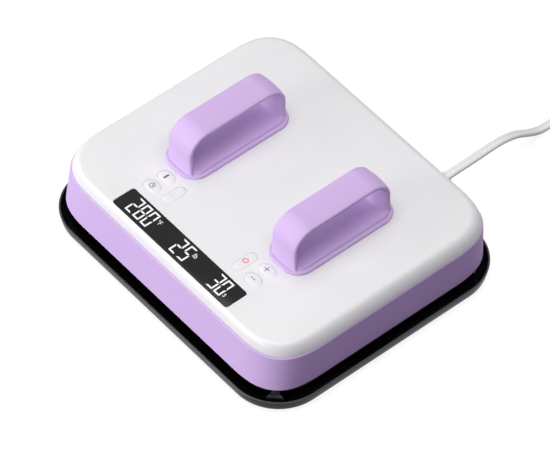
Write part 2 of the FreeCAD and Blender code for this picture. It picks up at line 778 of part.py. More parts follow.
# ---------------------------------------------------------------- handles
def make_handle(label, side):
    """A moulded loop: flange, saddle with a dished floor, and a strap swept along the loop."""
    body = new_body(label, handle_x * side, handle_y, cover_top)
    flange = new_sketch(body, "Flange")
    rounded(flange, flange_width, flange_length, flange_corner)
    base = pad(body, flange, flange_thickness, "FlangePad")
    dress(body, "Fillet", base, level(flange_thickness), flange_thickness * 0.6)
    saddle = new_sketch(body, "Saddle")
    inset = saddle_inset * 2
    saddle_top = flange_thickness + saddle_rise
    rounded(saddle, flange_width - inset, flange_length - inset, flange_corner - saddle_inset)
    pad(body, saddle, saddle_top, "SaddlePad")
    dish = new_sketch(body, "Dish", "XZ_Plane")
    half = dish_width / 2
    outline(dish, [(-half, saddle_top), (half, saddle_top, bulge_radius(half, dish_depth))])
    dish_length = grip_length - (grip_belly + dish_margin) * 2
    pocket(body, dish, dish_length, "DishCut", midplane=True)
    path = new_sketch(body, "LoopPath", "YZ_Plane")
    reach = grip_length / 2
    low = flange_thickness / 2
    high = grip_height - grip_crown
    bend = -grip_shoulder
    outline(path, [
        (-reach, low), (-reach, high - grip_shoulder), (-reach + grip_shoulder, high, bend),
        (reach - grip_shoulder, high), (reach, high - grip_shoulder, bend), (reach, low),
    ], closed=False)
    section = new_sketch(body, "StrapSection", shift=(0, 0, low))
    strap_section(section, reach)
    sweep = body.newObject("PartDesign::AdditivePipe", "Strap")
    sweep.Profile = section
    sweep.Spine = path
    sweep.Mode = "Binormal"
    sweep.Binormal = Vector(1, 0, 0)
    drill = new_sketch(body, "FixingHoles")
    circles(drill, handle_screw + seat_gap, screws_in_legs())
    body.Tip = pocket(body, drill, handle_bite + pilot_spare, "FixingCuts", upward=True)


def strap_section(sketch, reach):
    """Crowned outside, rounded edges and a belly towards the fingers."""
    half = grip_width / 2
    flat = half - edge_round
    outer = -reach
    inner = grip_edge - reach
    crown = bulge_radius(flat, grip_crown)
    belly = bulge_radius(flat, grip_belly - grip_edge)
    outline(sketch, [
        (flat, outer, crown), (half, outer + edge_round, edge_round), (half, inner - edge_round),
        (flat, inner, edge_round), (-flat, inner, belly), (-half, inner - edge_round, edge_round),
        (-half, outer + edge_round), (-flat, outer, edge_round),
    ])


def bulge_radius(half, rise):
    """Radius of the arc that rises by rise over a chord of twice half."""
    return Size(
        (half.number ** 2 + rise.number ** 2) / (2 * rise.number),
        f"((({half.formula})^2 + ({rise.formula})^2) / (2 * ({rise.formula})))",
    )


def make_handle_backing():
    plates = []
    z = cover_under - backing_thickness
    length = grip_width + backing_margin * 2
    width = grip_length + backing_margin * 2
    for i, x in enumerate((handle_x, -handle_x)):
        plates.append(block(f"BackingBlank{i}", length, width, backing_thickness, x, handle_y, z))
    drills = [
        rod(f"BackingDrill{i}", handle_screw_hole, backing_thickness + root * 2, x, y, z - root)
        for i, (x, y) in enumerate(handle_fixings())
    ]
    tool = joined("BackingDrills", drills)
    cut_plates = [cut_away(f"Backing{i}", plate, tool) for i, plate in enumerate(plates)]
    group("handle_backing", cut_plates)


def make_handle_screws():
    screws = []
    z = cover_under - backing_thickness
    length = backing_thickness + cover_wall + handle_bite
    for i, (x, y) in enumerate(handle_fixings()):
        head = rod(f"HandleHead{i}", handle_head, handle_head_height, x, y, z - handle_head_height)
        shank = rod(f"HandleShank{i}", handle_screw, length + root, x, y, z - root)
        screws.append(joined(f"HandleScrew{i}", [head, shank]))
    group("handle_screws", screws)


# ---------------------------------------------------------------- display, buttons and control board
def make_display():
    window = new_body("display_window")
    sketch = new_sketch(window, "WindowOutline", shift=(0, window_y, cover_top - window_thickness))
    rounded(sketch, window_length, window_width, window_corner)
    pad(window, sketch, window_thickness, "Pane")
    module = new_body("display_module")
    sketch = new_sketch(module, "ModuleOutline", shift=(0, window_y, board_top))
    ledge = (window_ledge + fit_gap * 2) * 2
    rounded(sketch, window_length - ledge, window_width - ledge, fit_gap * 2)
    pad(module, sketch, cover_top - window_thickness - pane_gap - board_top, "Module")


def make_button(label, x, y, form):
    """A cap with a retaining flange and a stem over its switch."""
    body = new_body(label, x, y, 0)
    length, width, corner = BUTTON_FORMS[form]
    gap = button_gap * 2
    flange_bottom = cover_under - button_flange_drop - button_flange_height
    cap = new_sketch(body, "Cap", shift=(0, 0, flange_bottom))
    rounded(cap, length - gap, width - gap, corner - button_gap)
    raised = pad(body, cap, cover_top + button_proud - flange_bottom, "CapPad")
    dress(body, "Fillet", raised, level(cover_top + button_proud), button_proud * 0.8)
    flange = new_sketch(body, "Flange", shift=(0, 0, flange_bottom))
    grow = button_flange * 2 - gap
    rounded(flange, length + grow, width + grow, corner + button_flange - button_gap)
    pad(body, flange, button_flange_height, "FlangePad")
    stem_bottom = board_top + switch_height + switch_tip + button_travel + seat_gap
    stem = new_sketch(body, "Stem", shift=(0, 0, stem_bottom))
    circles(stem, button_stem, [(0, 0)])
    body.Tip = pad(body, stem, flange_bottom - stem_bottom + root, "StemPad")


def make_control_board():
    body = new_body("control_board")
    sketch = new_sketch(body, "BoardOutline", shift=(0, board_y, board_bottom))
    rounded(sketch, board_length, board_width, board_corner)
    pad(body, sketch, board_thickness, "Board")
    holes = new_sketch(body, "BoardHoles", shift=(0, 0, board_bottom))
    circles(holes, board_screw + fit_gap * 2, board_screws())
    body.Tip = pocket(body, holes, board_thickness + root, "HoleCuts", upward=True)
    switches = []
    for i, (x, y, _form) in enumerate(BUTTONS.values()):
        can = block(f"SwitchCan{i}", switch_side, switch_side, switch_height, x, y, board_top)
        tip = rod(f"SwitchTip{i}", switch_button, switch_tip + root, x, y, board_top + switch_height - root)
        switches.append(joined(f"Switch{i}", [can, tip]))
    group("tact_switches", switches)
    can = rod("BuzzerCan", buzzer_diameter, buzzer_height, buzzer_x, tall_y, board_top)
    port_z = board_top + buzzer_height - buzzer_port
    port = rod("BuzzerPort", buzzer_port, buzzer_height, buzzer_x, tall_y, port_z)
    node(cut_away("buzzer", can, port))
    screws = []
    for i, (x, y) in enumerate(board_screws()):
        head = rod(f"BoardHead{i}", board_screw * 2, board_screw, x, y, board_bottom - board_screw)
        shank = rod(f"BoardShank{i}", board_screw, board_screw_length + root, x, y, board_bottom - root)
        screws.append(joined(f"BoardScrew{i}", [head, shank]))
    group("board_screws", screws)


# ---------------------------------------------------------------- heating plate and what is stacked on it
ELEMENT_RUNS = 6
SINK_FINS = 7
element_reach = plate_length / 2 - element_inset
element_axis = plate_top + element_diameter / 2 + seat_gap
blanket_bottom = element_axis + element_diameter / 2 + seat_gap
shield_bottom = blanket_bottom + blanket_thickness + seat_gap
shield_top = shield_bottom + shield_thickness
CELLS = [(cell_x, cell_y), (cell_x, -cell_y), (-cell_x, cell_y), (-cell_x, -cell_y)]


def make_heating_plate():
    body = new_body("heating_plate")
    sketch = new_sketch(body, "PlateOutline", shift=(0, 0, plate_bottom))
    rounded(sketch, plate_length, plate_width, plate_corner)
    plate = pad(body, sketch, plate_thickness, "Plate")
    body.Tip = dress(body, "Fillet", plate, level(plate_bottom), plate_round)


def make_heating_element():
    """A tubular heater laid over the plate in even passes, both its ends at the left."""
    body = new_body("heating_element")
    path = new_sketch(body, "ElementPath", shift=(0, 0, element_axis))
    bend = element_pitch / 2
    start_y = -(element_pitch * ((ELEMENT_RUNS - 1) / 2))
    points = [(-element_reach, start_y)]
    for run in range(ELEMENT_RUNS):
        y = start_y + element_pitch * run
        end_x = element_reach if run % 2 == 0 else -element_reach
        points.append((end_x, y))
        if run < ELEMENT_RUNS - 1:
            side = 1 if run % 2 == 0 else -1
            points.append((end_x + bend * side, y + bend, bend * side))
            points.append((end_x, y + element_pitch, bend * side))
    outline(path, points, closed=False)
    ring = new_sketch(body, "ElementSection", "YZ_Plane", (start_y, element_axis, -element_reach))
    circles(ring, element_diameter, [(0, 0)])
    sweep = body.newObject("PartDesign::AdditivePipe", "Element")
    sweep.Profile = ring
    sweep.Spine = path
    body.Tip = sweep


def make_plate_stack():
    body = new_body("insulation_blanket")
    sketch = new_sketch(body, "BlanketOutline", shift=(0, 0, blanket_bottom))
    inset = stack_inset * 2
    rounded(sketch, plate_length - inset, plate_width - inset, plate_corner - stack_inset)
    circles(sketch, standoff_diameter + fit_gap * 2, CELLS)
    pad(body, sketch, blanket_thickness, "Blanket")
    body = new_body("heat_shield")
    sketch = new_sketch(body, "ShieldOutline", shift=(0, 0, shield_bottom))
    rounded(sketch, plate_length - inset, plate_width - inset, plate_corner - stack_inset)
    circles(sketch, standoff_diameter / 2, CELLS)
    pad(body, sketch, shield_thickness, "Shield")
    posts = []
    for i, (x, y) in enumerate(CELLS):
        posts.append(rod(f"StandOff{i}", standoff_diameter, shield_bottom - plate_top, x, y, plate_top))
    group("plate_standoffs", posts)
    cells = []
    for i, (x, y) in enumerate(CELLS):
        tall = chassis_bottom - shield_top
        bar = block(f"CellBar{i}", cell_length, cell_width, tall - root * 2, x, y, shield_top + root)
        foot = rod(f"CellFoot{i}", cell_foot, tall, x, y, shield_top)
        cells.append(joined(f"Cell{i}", [bar, foot]))
    group("load_cells", cells)


def make_chassis_plate():
    body = new_body("chassis_plate")
    sketch = new_sketch(body, "ChassisOutline", shift=(0, 0, chassis_bottom))
    inset = band_wall + fit_gap * 2
    rounded(sketch, body_length - inset * 2, body_width - inset * 2, body_corner - inset)
    circles(sketch, screw_hole, HOUSING_SCREWS)
    rounded(sketch, chassis_window_length, chassis_window_width, post_diameter)
    pad(body, sketch, chassis_thickness, "Sheet")


def make_housing_screws():
    screws = []
    for i, (x, y) in enumerate(HOUSING_SCREWS):
        head = rod(f"HousingHead{i}", screw_head, screw_head_height, x, y, skirt_bottom + seat_gap)
        reach = chassis_top - skirt_bottom + screw_bite - root
        shank = rod(f"HousingShank{i}", screw_shank, reach, x, y, skirt_bottom + root)
        screws.append(joined(f"HousingScrew{i}", [head, shank]))
    group("housing_screws", screws)


# ---------------------------------------------------------------- mains side
def make_power_board():
    body = new_body("power_board")
    sketch = new_sketch(body, "PowerOutline", shift=(power_x, power_y, power_bottom))
    rounded(sketch, power_length, power_width, board_corner)
    pad(body, sketch, board_thickness, "Board")
    posts = []
    for i, (sx, sy) in enumerate(((1, 1), (1, -1), (-1, 1), (-1, -1))):
        x = power_x + (power_length / 2 - power_post_inset) * sx
        y = power_y + (power_width / 2 - power_post_inset) * sy
        posts.append(rod(f"PowerPost{i}", power_post, power_bottom - chassis_top, x, y, chassis_top))
    group("board_standoffs", posts)
    node(block("relay", relay_length, relay_width, relay_height, *on_power_board(relay_x, relay_y)))
    place_at = on_power_board(transformer_x, transformer_y)
    core = block("TransformerCore", core_length, core_width, core_height, *place_at)
    coil = block("TransformerCoil", winding_length, winding_width, winding_height, *place_at)
    node(joined("transformer", [core, coil]))
    sink = [block("SinkBase", sink_length, sink_base, sink_height, *on_power_board(sink_x, sink_y))]
    fin_y = sink_y + sink_base / 2 + fin_width / 2 - seat_gap
    fin_start = sink_x - fin_pitch * ((SINK_FINS - 1) / 2)
    for i in range(SINK_FINS):
        place_fin = on_power_board(fin_start + fin_pitch * i, fin_y)
        sink.append(block(f"SinkFin{i}", fin_thickness, fin_width, sink_height, *place_fin))
    node(joined("heat_sink", sink))
    node(rod("capacitor", capacitor_diameter, capacitor_height, *on_power_board(capacitor_x, capacitor_y)))


def on_power_board(x, y):
    return power_x + x, power_y + y, power_top


def make_mains_parts():
    block_x = gland_x - terminal_offset
    block_y = screw_y - terminal_setback
    at = (block_x, block_y, chassis_top)
    base = block("TerminalBase", terminal_length, terminal_width, terminal_height, *at)
    ridge = block("TerminalRidge", terminal_length, ridge_width, ridge_height, *at)
    node(joined("terminal_block", [base, ridge]))
    clamp_y = screw_y - clamp_setback
    bar_z = chassis_top + clamp_lift
    bars = [block("ClampBar", clamp_length, clamp_width, clamp_bar, gland_x, clamp_y, bar_z)]
    foot_x = clamp_length / 2 - clamp_foot / 2
    foot_reach = clamp_lift + root
    for i, x in enumerate((gland_x + foot_x, gland_x - foot_x)):
        bars.append(block(f"ClampFoot{i}", clamp_foot, clamp_width, foot_reach, x, clamp_y, chassis_top))
    node(joined("cable_clamp", bars))
    can = rod("ThermostatCan", thermostat_diameter, thermostat_height, 0, 0, plate_top + seat_gap)
    ears = block("ThermostatEars", ears_length, ears_width, ears_thickness, 0, 0, plate_top + seat_gap)
    node(joined("thermostat", [can, ears]))


def make_plate_sensors():
    """A bead and a fuse that lie between the heater's passes, one each side of the thermostat."""
    bead_z = plate_top + sensor_diameter / 2 + seat_gap
    bead = rod("SensorBead", sensor_diameter, sensor_length, -sensor_x, 0, bead_z, ALONG_X)
    tag_x = tag_offset - sensor_x
    tag = block("SensorTag", tag_length, tag_width, sensor_diameter / 2, tag_x, 0, plate_top + seat_gap)
    node(joined("temperature_sensor", [bead, tag]))
    fuse_z = plate_top + fuse_diameter / 2 + seat_gap
    node(rod("thermal_fuse", fuse_diameter, fuse_length, sensor_x, 0, fuse_z, ALONG_X))


def make_strain_relief():
    body = new_body("strain_relief")
    sketch = new_sketch(body, "ReliefProfile", "YZ_Plane", (0, gland_z, gland_x))
    wall_out = body_width / 2 + band_draft
    wall_in = body_width / 2 - band_wall - seat_gap
    neck = gland_hole / 2 - gland_fit / 2
    collar = gland_collar / 2
    end = relief_end()
    outline(sketch, [
        (wall_in - relief_inner, 0), (end, 0), (end, relief_tip / 2), (wall_out + collar_thickness, neck),
        (wall_out + collar_thickness, collar), (wall_out, collar), (wall_out, neck),
        (wall_in, neck), (wall_in, collar), (wall_in - collar_thickness, collar),
        (wall_in - collar_thickness, neck), (wall_in - relief_inner, neck),
    ])
    turned = body.newObject("PartDesign::Revolution", "Turned")
    turned.Profile = sketch
    turned.ReferenceAxis = (sketch, ["H_Axis"])
    turned.Angle = 360
    body.Tip = turned


def relief_end():
    return body_width / 2 + band_draft + relief_length


# ---------------------------------------------------------------- mains cord
# The cord droops from the strain relief to the table and runs into a neat round coil behind the press.
CORD_RADIUS = cord_diameter.number / 2
CORD_ON_TABLE = CORD_RADIUS + 0.1
CORD_FLAT = 4.8
COIL_MIDDLE = Vector(117.6, 340, 0)
COIL_OUTER_TURN = 57.6
COIL_TURN_STEP = cord_diameter.number
COIL_LAYERS = 3
COIL_STUB = 36
PLUG_AXIS = CORD_FLAT * (COIL_LAYERS - 0.5)
coil_start = Vector(COIL_MIDDLE.x - COIL_OUTER_TURN, COIL_MIDDLE.y - COIL_STUB, CORD_ON_TABLE)


def cord_points():
    return [
        Vector(gland_x.number, relief_end().number, gland_z.number),
        Vector(gland_x.number, 190, gland_z.number),
        Vector(67, 217, 34.4),
        Vector(65.6, 239, 28.2),
        Vector(63.5, 257, 17.8),
        Vector(61.4, 273, 9.4),
        Vector(coil_start.x, 288, coil_start.z),
        coil_start,
    ]


def rounded_path(points):
    """Straight runs joined by tangent arcs, each arc as large as its two runs allow."""
    edges = []
    here = points[0]
    for before, corner, after in zip(points, points[1:], points[2:]):
        into = corner - before
        out = after - corner
        run = min(into.Length, out.Length)
        turn = into.getAngle(out)
        reach = 0.45 * run
        print(f"cord bend radius {reach / math.tan(turn / 2):.0f} mm, turn {math.degrees(turn):.1f} degrees")
        into.normalize()
        out.normalize()
        arc_start = corner - into * reach
        arc_end = corner + out * reach
        bisector = (out - into).normalize()
        radius = reach / math.tan(turn / 2)
        centre = corner + bisector * math.hypot(radius, reach)
        arc_middle = centre - bisector * radius
        edges.append(Part.LineSegment(here, arc_start).toShape())
        edges.append(Part.Arc(arc_start, arc_middle, arc_end).toShape())
        here = arc_end
    edges.append(Part.LineSegment(here, points[-1]).toShape())
    return Part.Wire(edges)


def make_power_cord():
    points = cord_points()
    path = rounded_path(points)
    along = points[1] - points[0]
    section = Part.Wire(Part.makeCircle(CORD_RADIUS, points[0], along))
    tube = path.makePipeShell([section], True, False)
    expected = math.pi * CORD_RADIUS ** 2 * path.Length
    print(f"cord tube {path.Length:.0f} mm long, volume ratio {tube.Volume / expected:.4f}")
    feature = doc.addObject("Part::Feature", "power_cord")
    feature.Label = "power_cord"
    feature.Shape = tube
    feature.Placement = Placement()
    nodes.append(feature)


def make_cord_coil():
    outer = COIL_OUTER_TURN + COIL_TURN_STEP / 2
    inner = COIL_OUTER_TURN - COIL_TURN_STEP * 1.5
    height = CORD_FLAT * COIL_LAYERS
    x, y = COIL_MIDDLE.x, COIL_MIDDLE.y
    ring = rod("CoilOuter", outer * 2, height, x, y, 0)
    hole = rod("CoilInner", inner * 2, height * 2, x, y, -height / 2)
    lead_in = rod("CoilLeadIn", cord_diameter, COIL_STUB, coil_start.x, coil_start.y, coil_start.z, ALONG_Y)
    plug_side = x + COIL_OUTER_TURN
    stub_at = (plug_side, y - COIL_STUB / 2, height - CORD_FLAT)
    lead_out = block("CoilLeadOut", cord_diameter, COIL_STUB, CORD_FLAT, *stub_at)
    body = joined("CoilBody", [ring, lead_in, lead_out])
    coil = cut_away("cord_coil", body, hole)
    nodes.append(coil)


def make_plug():
    x = COIL_MIDDLE.x + COIL_OUTER_TURN
    back = COIL_MIDDLE.y - COIL_STUB
    body = new_body("plug_body", x, back, PLUG_AXIS)
    stations = [
        ("ReliefEnd", 0, plug_neck_length, plug_neck_height, plug_neck_corner),
        ("ReliefFoot", plug_relief, plug_foot_length, plug_foot_height, plug_foot_corner),
        ("Shoulder", plug_relief, plug_back_length, plug_back_height, plug_corner),
        ("Face", plug_length, plug_face_length, plug_face_height, plug_corner),
    ]
    sections = []
    for name, along, length, height, corner in stations:
        section = new_sketch(body, name, "XZ_Plane", (0, 0, along))
        rounded(section, length, height, corner)
        sections.append(section)
    loft(body, sections[0], sections[1], "Relief")
    body.Tip = loft(body, sections[2], sections[3], "Grip")
    pins = []
    pin_y = as_size(back) - plug_length - pin_length / 2
    pin_z = as_size(PLUG_AXIS) - pin_width / 2
    for i, dx in enumerate((-pin_spacing / 2, pin_spacing / 2)):
        pins.append(block(f"Pin{i}", pin_thickness, pin_length, pin_width, as_size(x) + dx, pin_y, pin_z))
    group("plug_pins", pins)


# ---------------------------------------------------------------- build, check and write
make_base_tray()
make_tray_feet()
make_tray_mat()
make_lower_skirt()
make_side_band()
make_top_cover()
make_handle("handle_left", -1)
make_handle("handle_right", 1)
make_handle_backing()
make_handle_screws()
make_display()
for label, (x, y, form) in BUTTONS.items():
    make_button(label, x, y, form)
make_control_board()
make_heating_plate()
make_heating_element()
make_plate_stack()
make_chassis_plate()
make_housing_screws()
make_power_board()
make_mains_parts()
make_plate_sensors()
make_strain_relief()
make_power_cord()
make_cord_coil()
make_plug()
doc.recompute()

faults = [thing.Name for thing in doc.Objects if "Invalid" in thing.State or "Error" in thing.State]
if faults:
    raise RuntimeError(f"failed objects: {faults}")
for thing in doc.Objects:
    if thing.TypeId in ("PartDesign::Pocket", "PartDesign::SubtractiveLoft"):
        if thing.Shape.Volume >= thing.BaseFeature.Shape.Volume - 1e-6:
            raise RuntimeError(f"{thing.getParentGeoFeatureGroup().Label}: {thing.Label} cuts nothing")
for thing in nodes:
    if thing.Shape.isNull() or not thing.Shape.isValid() or not thing.Shape.Solids:
        raise RuntimeError(f"{thing.Label} has no valid solid")

os.makedirs("parts", exist_ok=True)
for thing in nodes:
    thing.Shape.exportStep(f"parts/{thing.Label}.step")
    print(f"{thing.Label}: {len(thing.Shape.Solids)} solid(s), {thing.Shape.Volume / 1000:.1f} cm3")
print(f"{len(nodes)} nodes written")
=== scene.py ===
# %% [markdown]
# # A handheld heat press in its stand tray
#
# The press is a heating plate in a lilac and white plastic housing with two loop handles. It is
# parked in a glossy black tray, and a flat white mains cord runs off behind it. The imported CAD
# model is loaded first: it says where every piece is and how it moves. The looks are then built
# around it, in metres and in the same frame.

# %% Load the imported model
import math

import bpy
import numpy as np
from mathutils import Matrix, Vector


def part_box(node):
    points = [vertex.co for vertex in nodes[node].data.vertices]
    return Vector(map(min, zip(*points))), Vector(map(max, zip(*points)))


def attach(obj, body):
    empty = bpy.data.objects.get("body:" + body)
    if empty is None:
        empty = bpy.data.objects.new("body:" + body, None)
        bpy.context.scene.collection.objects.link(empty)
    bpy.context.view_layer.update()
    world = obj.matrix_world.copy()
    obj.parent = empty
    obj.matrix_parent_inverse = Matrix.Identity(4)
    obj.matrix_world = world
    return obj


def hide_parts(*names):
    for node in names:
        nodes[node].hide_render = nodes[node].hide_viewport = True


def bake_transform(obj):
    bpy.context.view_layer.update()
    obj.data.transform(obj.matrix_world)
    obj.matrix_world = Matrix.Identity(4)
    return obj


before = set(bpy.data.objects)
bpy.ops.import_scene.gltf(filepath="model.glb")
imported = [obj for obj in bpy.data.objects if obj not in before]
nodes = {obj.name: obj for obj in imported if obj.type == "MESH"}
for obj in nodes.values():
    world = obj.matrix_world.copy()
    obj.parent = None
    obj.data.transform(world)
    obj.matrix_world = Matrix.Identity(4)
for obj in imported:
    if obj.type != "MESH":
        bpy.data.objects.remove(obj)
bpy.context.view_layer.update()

scene = bpy.context.scene

# %% [markdown]
# ## Camera
#
# The camera stands to the right of the front, looks down at half a right angle, and is far away
# with a long lens, so that parallel edges stay nearly parallel. A near camera with a short lens
# would fill the frame as well, but would make those edges run together.

# %% Camera
AZIMUTH = math.radians(50.19)
ELEVATION = math.radians(49.787)
DISTANCE = 4.838
LENS = 328.8
LOOK_AT = Vector((-0.0020, 0.0036, 0.0193))
VIEW_DEPTH = 30

camera_data = bpy.data.cameras.new("camera")
camera = bpy.data.objects.new("camera", camera_data)
scene.collection.objects.link(camera)
scene.camera = camera
camera_data.lens = LENS
camera_data.clip_end = VIEW_DEPTH
away = Vector((
    math.sin(AZIMUTH) * math.cos(ELEVATION),
    -math.cos(AZIMUTH) * math.cos(ELEVATION),
    math.sin(ELEVATION),
))
camera.location = LOOK_AT + away * DISTANCE
camera.rotation_mode = "QUATERNION"
camera.rotation_quaternion = (-away).to_track_quat("-Z", "Y")
print("camera at", tuple(round(x, 3) for x in camera.location))

# %% [markdown]
# ## Helpers for materials
#
# A material is a small tree of nodes. Building it by hand in the editor shows each step, but
# building it in code lets a few helpers serve every finish: one adds a node and links it, one
# gives noise of a real size, one maps a factor to numbers and one to colours.

# %% Helpers for nodes
COLOR_A, COLOR_B, COLOR_RESULT = 6, 7, 2


def add(tree, kind, **sockets):
    """A node with some of its input sockets set or linked."""
    made = tree.nodes.new(kind)
    for name, value in sockets.items():
        socket = made.inputs[name.replace("_", " ")]
        if isinstance(value, bpy.types.NodeSocket):
            tree.links.new(value, socket)
        else:
            socket.default_value = value
    return made


def new_material(name):
    """A material with its node tree and its main shader."""
    material = bpy.data.materials.new(name)
    material.use_nodes = True
    tree = material.node_tree
    return material, tree, tree.nodes["Principled BSDF"]


def shade(color, factor):
    """The colour made lighter or darker, with an alpha of 1."""
    return (color[0] * factor, color[1] * factor, color[2] * factor, 1)


def noise(tree, size, detail=2.0):
    """Noise with lumps of about that size, in metres."""
    place = add(tree, "ShaderNodeTexCoord").outputs["Object"]
    lumps = add(tree, "ShaderNodeTexNoise", Vector=place, Scale=1 / size, Detail=detail)
    return lumps.outputs["Fac"]


def between(tree, factor, low, high):
    """A number that goes from low to high as the factor goes from 0 to 1."""
    return add(tree, "ShaderNodeMapRange", Value=factor, To_Min=low, To_Max=high).outputs["Result"]


def mixed(tree, factor, one, other):
    """Colour one where factor is 0, the other where it is 1."""
    mix = tree.nodes.new("ShaderNodeMix")
    mix.data_type = "RGBA"
    tree.links.new(factor, mix.inputs["Factor"])
    mix.inputs[COLOR_A].default_value = one
    mix.inputs[COLOR_B].default_value = other
    return mix.outputs[COLOR_RESULT]


print("colour sockets of a mix:", COLOR_A, COLOR_B, COLOR_RESULT)

# %% [markdown]
# Moulded plastic is never one even colour. The mould leaves a fine grain, the gloss wanders a
# little from place to place, and the colour drifts by a percent or two. `plastic()` gives each
# finish those three things from noise on Object coordinates, so the pattern stays on the piece.

# %% One recipe for plastic
PATCH_SIZE = 0.045
WANDER_SIZE = 0.012
BUMP_STRENGTH = 0.6
PLAIN_SHINE = 0.5


def plastic(
    name, color, roughness, grain=0.0007, depth=0.00003, drift=0.03, gloss_drift=0.06,
    shine=PLAIN_SHINE,
):
    """Moulded plastic: drift is a share of the colour, grain and depth are in metres."""
    material, tree, shader = new_material(name)
    paler = min(1 + drift, 1 / max(color))
    tint = mixed(tree, noise(tree, PATCH_SIZE), shade(color, 1 - drift), shade(color, paler))
    tree.links.new(tint, shader.inputs["Base Color"])
    wander = noise(tree, WANDER_SIZE)
    gloss = between(tree, wander, roughness - gloss_drift, roughness + gloss_drift)
    tree.links.new(gloss, shader.inputs["Roughness"])
    rise = noise(tree, grain, 3.0)
    bump = add(tree, "ShaderNodeBump", Height=rise, Distance=depth, Strength=BUMP_STRENGTH)
    tree.links.new(bump.outputs["Normal"], shader.inputs["Normal"])
    shader.inputs["Specular IOR Level"].default_value = shine
    return material


def paint(piece, material):
    """Gives a piece this one material."""
    piece.data.materials.clear()
    piece.data.materials.append(material)
    return piece


print("patches of", PATCH_SIZE, "m, gloss wanders over", WANDER_SIZE, "m")

# %% [markdown]
# The outside of the press needs few finishes. The white cover and the lilac shell are satin, and
# the lilac has a weak shine, as a dyed plastic with a fine matt grain has. The tray and the window
# are glossy and almost black, and the cord's jacket is soft vinyl. One recipe with other numbers
# is easier to compare and to correct than a tree made by hand for each.

# %% Plastics of the outside
white_shell = plastic("white_shell", (0.81, 0.81, 0.81), 0.42)
lilac_shell = plastic("lilac_shell", (0.64, 0.47, 0.79), 0.50, drift=0.025, shine=0.15)
button_cap = plastic("button_cap", (0.80, 0.80, 0.805), 0.40, grain=0.0005)
black_gloss = plastic(
    "black_gloss", (0.006, 0.006, 0.007), 0.10, depth=0.000004, gloss_drift=0.03, shine=0.21,
)
black_frame = plastic("black_frame", (0.012, 0.012, 0.013), 0.42)
smoked_window = plastic(
    "smoked_window", (0.009, 0.009, 0.008), 0.16, depth=0.000002, gloss_drift=0.02, shine=0.2,
)
cord_jacket = plastic("cord_jacket", (0.86, 0.86, 0.86), 0.40, grain=0.0012)
print("plastics:", len(bpy.data.materials))

# %% [markdown]
# ## Helpers for meshes
#
# A moulded housing is a stack of outlines. Each outline is a rectangle with rounded corners, and
# the corners are superellipses: they start to turn gently, as the corners of such housings do,
# where a plain arc would start with a jolt. `loft()` puts a skin over a stack of such rings.

# %% Outlines
CORNER_STEPS = 20


def quarter(steps, power=2.0):
    """Points on a quarter superellipse of size 1, from (1, 0) round to (0, 1)."""
    points = []
    for step in range(steps + 1):
        angle = math.pi / 2 * step / steps
        across, up = math.cos(angle), math.sin(angle)
        reach = (abs(across) ** power + abs(up) ** power) ** (-1 / power)
        points.append((across * reach, up * reach))
    return points


def outline(half_x, half_y, corner, z, power=2.0, steps=CORNER_STEPS, middle=(0, 0)):
    """A ring of points, anticlockwise seen from above."""
    ring = []
    arc = quarter(steps, power)
    for side_x, side_y in ((1, 1), (-1, 1), (-1, -1), (1, -1)):
        turned = arc if side_x * side_y > 0 else arc[::-1]
        for across, up in turned:
            x = side_x * (half_x - corner + corner * across)
            y = side_y * (half_y - corner + corner * up)
            ring.append((middle[0] + x, middle[1] + y, z))
    return ring


print("ring of", len(outline(1, 1, 0.3, 0)), "points")

# %% [markdown]
# Rings become a piece when faces join each ring to the next. Openings are cut out of that skin
# with exact booleans, because a hole with a true wall shows how thick the shell is.

# %% Skins and cuts


def new_piece(name, points, faces):
    """An object at the origin made of these points and faces."""
    mesh = bpy.data.meshes.new(name)
    mesh.from_pydata(points, [], faces)
    mesh.validate()
    piece = bpy.data.objects.new(name, mesh)
    scene.collection.objects.link(piece)
    return piece


def soften(piece, angle=35):
    """Smooth shading that keeps edges sharper than the angle."""
    piece.data.shade_smooth()
    piece.data.set_sharp_from_angle(angle=math.radians(angle))


def loft(name, rings, close=False):
    """A closed skin over rings: capped at both ends, or joined from the last ring to the first."""
    count = len(rings[0])
    points = [point for ring in rings for point in ring]
    faces = []
    levels = len(rings) if close else len(rings) - 1
    for level in range(levels):
        low = level * count
        high = (level + 1) % len(rings) * count
        for i in range(count):
            j = (i + 1) % count
            faces.append((low + i, low + j, high + j, high + i))
    if not close:
        faces.append(tuple(range(count))[::-1])
        faces.append(tuple(range(len(points) - count, len(points))))
    return new_piece(name, points, faces)


def baked(piece):
    """The piece with its modifiers applied."""
    evaluated = piece.evaluated_get(bpy.context.evaluated_depsgraph_get())
    mesh = bpy.data.meshes.new_from_object(evaluated)
    piece.modifiers.clear()
    piece.data = mesh
    return piece


def carve(piece, cutters):
    """Takes the cutters out of a piece, and removes them."""
    for cutter in cutters:
        cut = piece.modifiers.new("cut", "BOOLEAN")
        cut.operation = "DIFFERENCE"
        cut.solver = "EXACT"
        cut.object = cutter
    baked(piece)
    for cutter in cutters:
        bpy.data.objects.remove(cutter)


print("a skin is a stack of rings, and carve() cuts its openings")

# %% [markdown]
# ## The mains cord
#
# The cord is a flat twin: two round cores side by side with a groove between them. It leaves the
# back of the housing through a strain relief, sags to the table and ends in a neat round coil
# with its plug. The route is one NURBS curve. Its first points are listed one by one, because a
# cord lies as it lies, and the coil's turns are worked out by a loop. The jacket is swept along
# that line with Geometry Nodes, with its normals kept upright so that the cord lies flat.

# %% The cord's route
CORD_WIDTH = 0.0096
CORD_THICK = 0.0048
RELIEF_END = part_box("strain_relief")[1].y
GLAND = (0.0675, RELIEF_END, 0.036)
COIL_MIDDLE = Vector((0.1176, 0.340))
COIL_OUTER = 0.0576
COIL_INNER = COIL_OUTER - CORD_WIDTH
COIL_STUB = 0.036
TURN_POINTS = 16
FLOOR_GAP = 0.0002
PLUG_LAYER = 2
CLIMB_START = 0.7

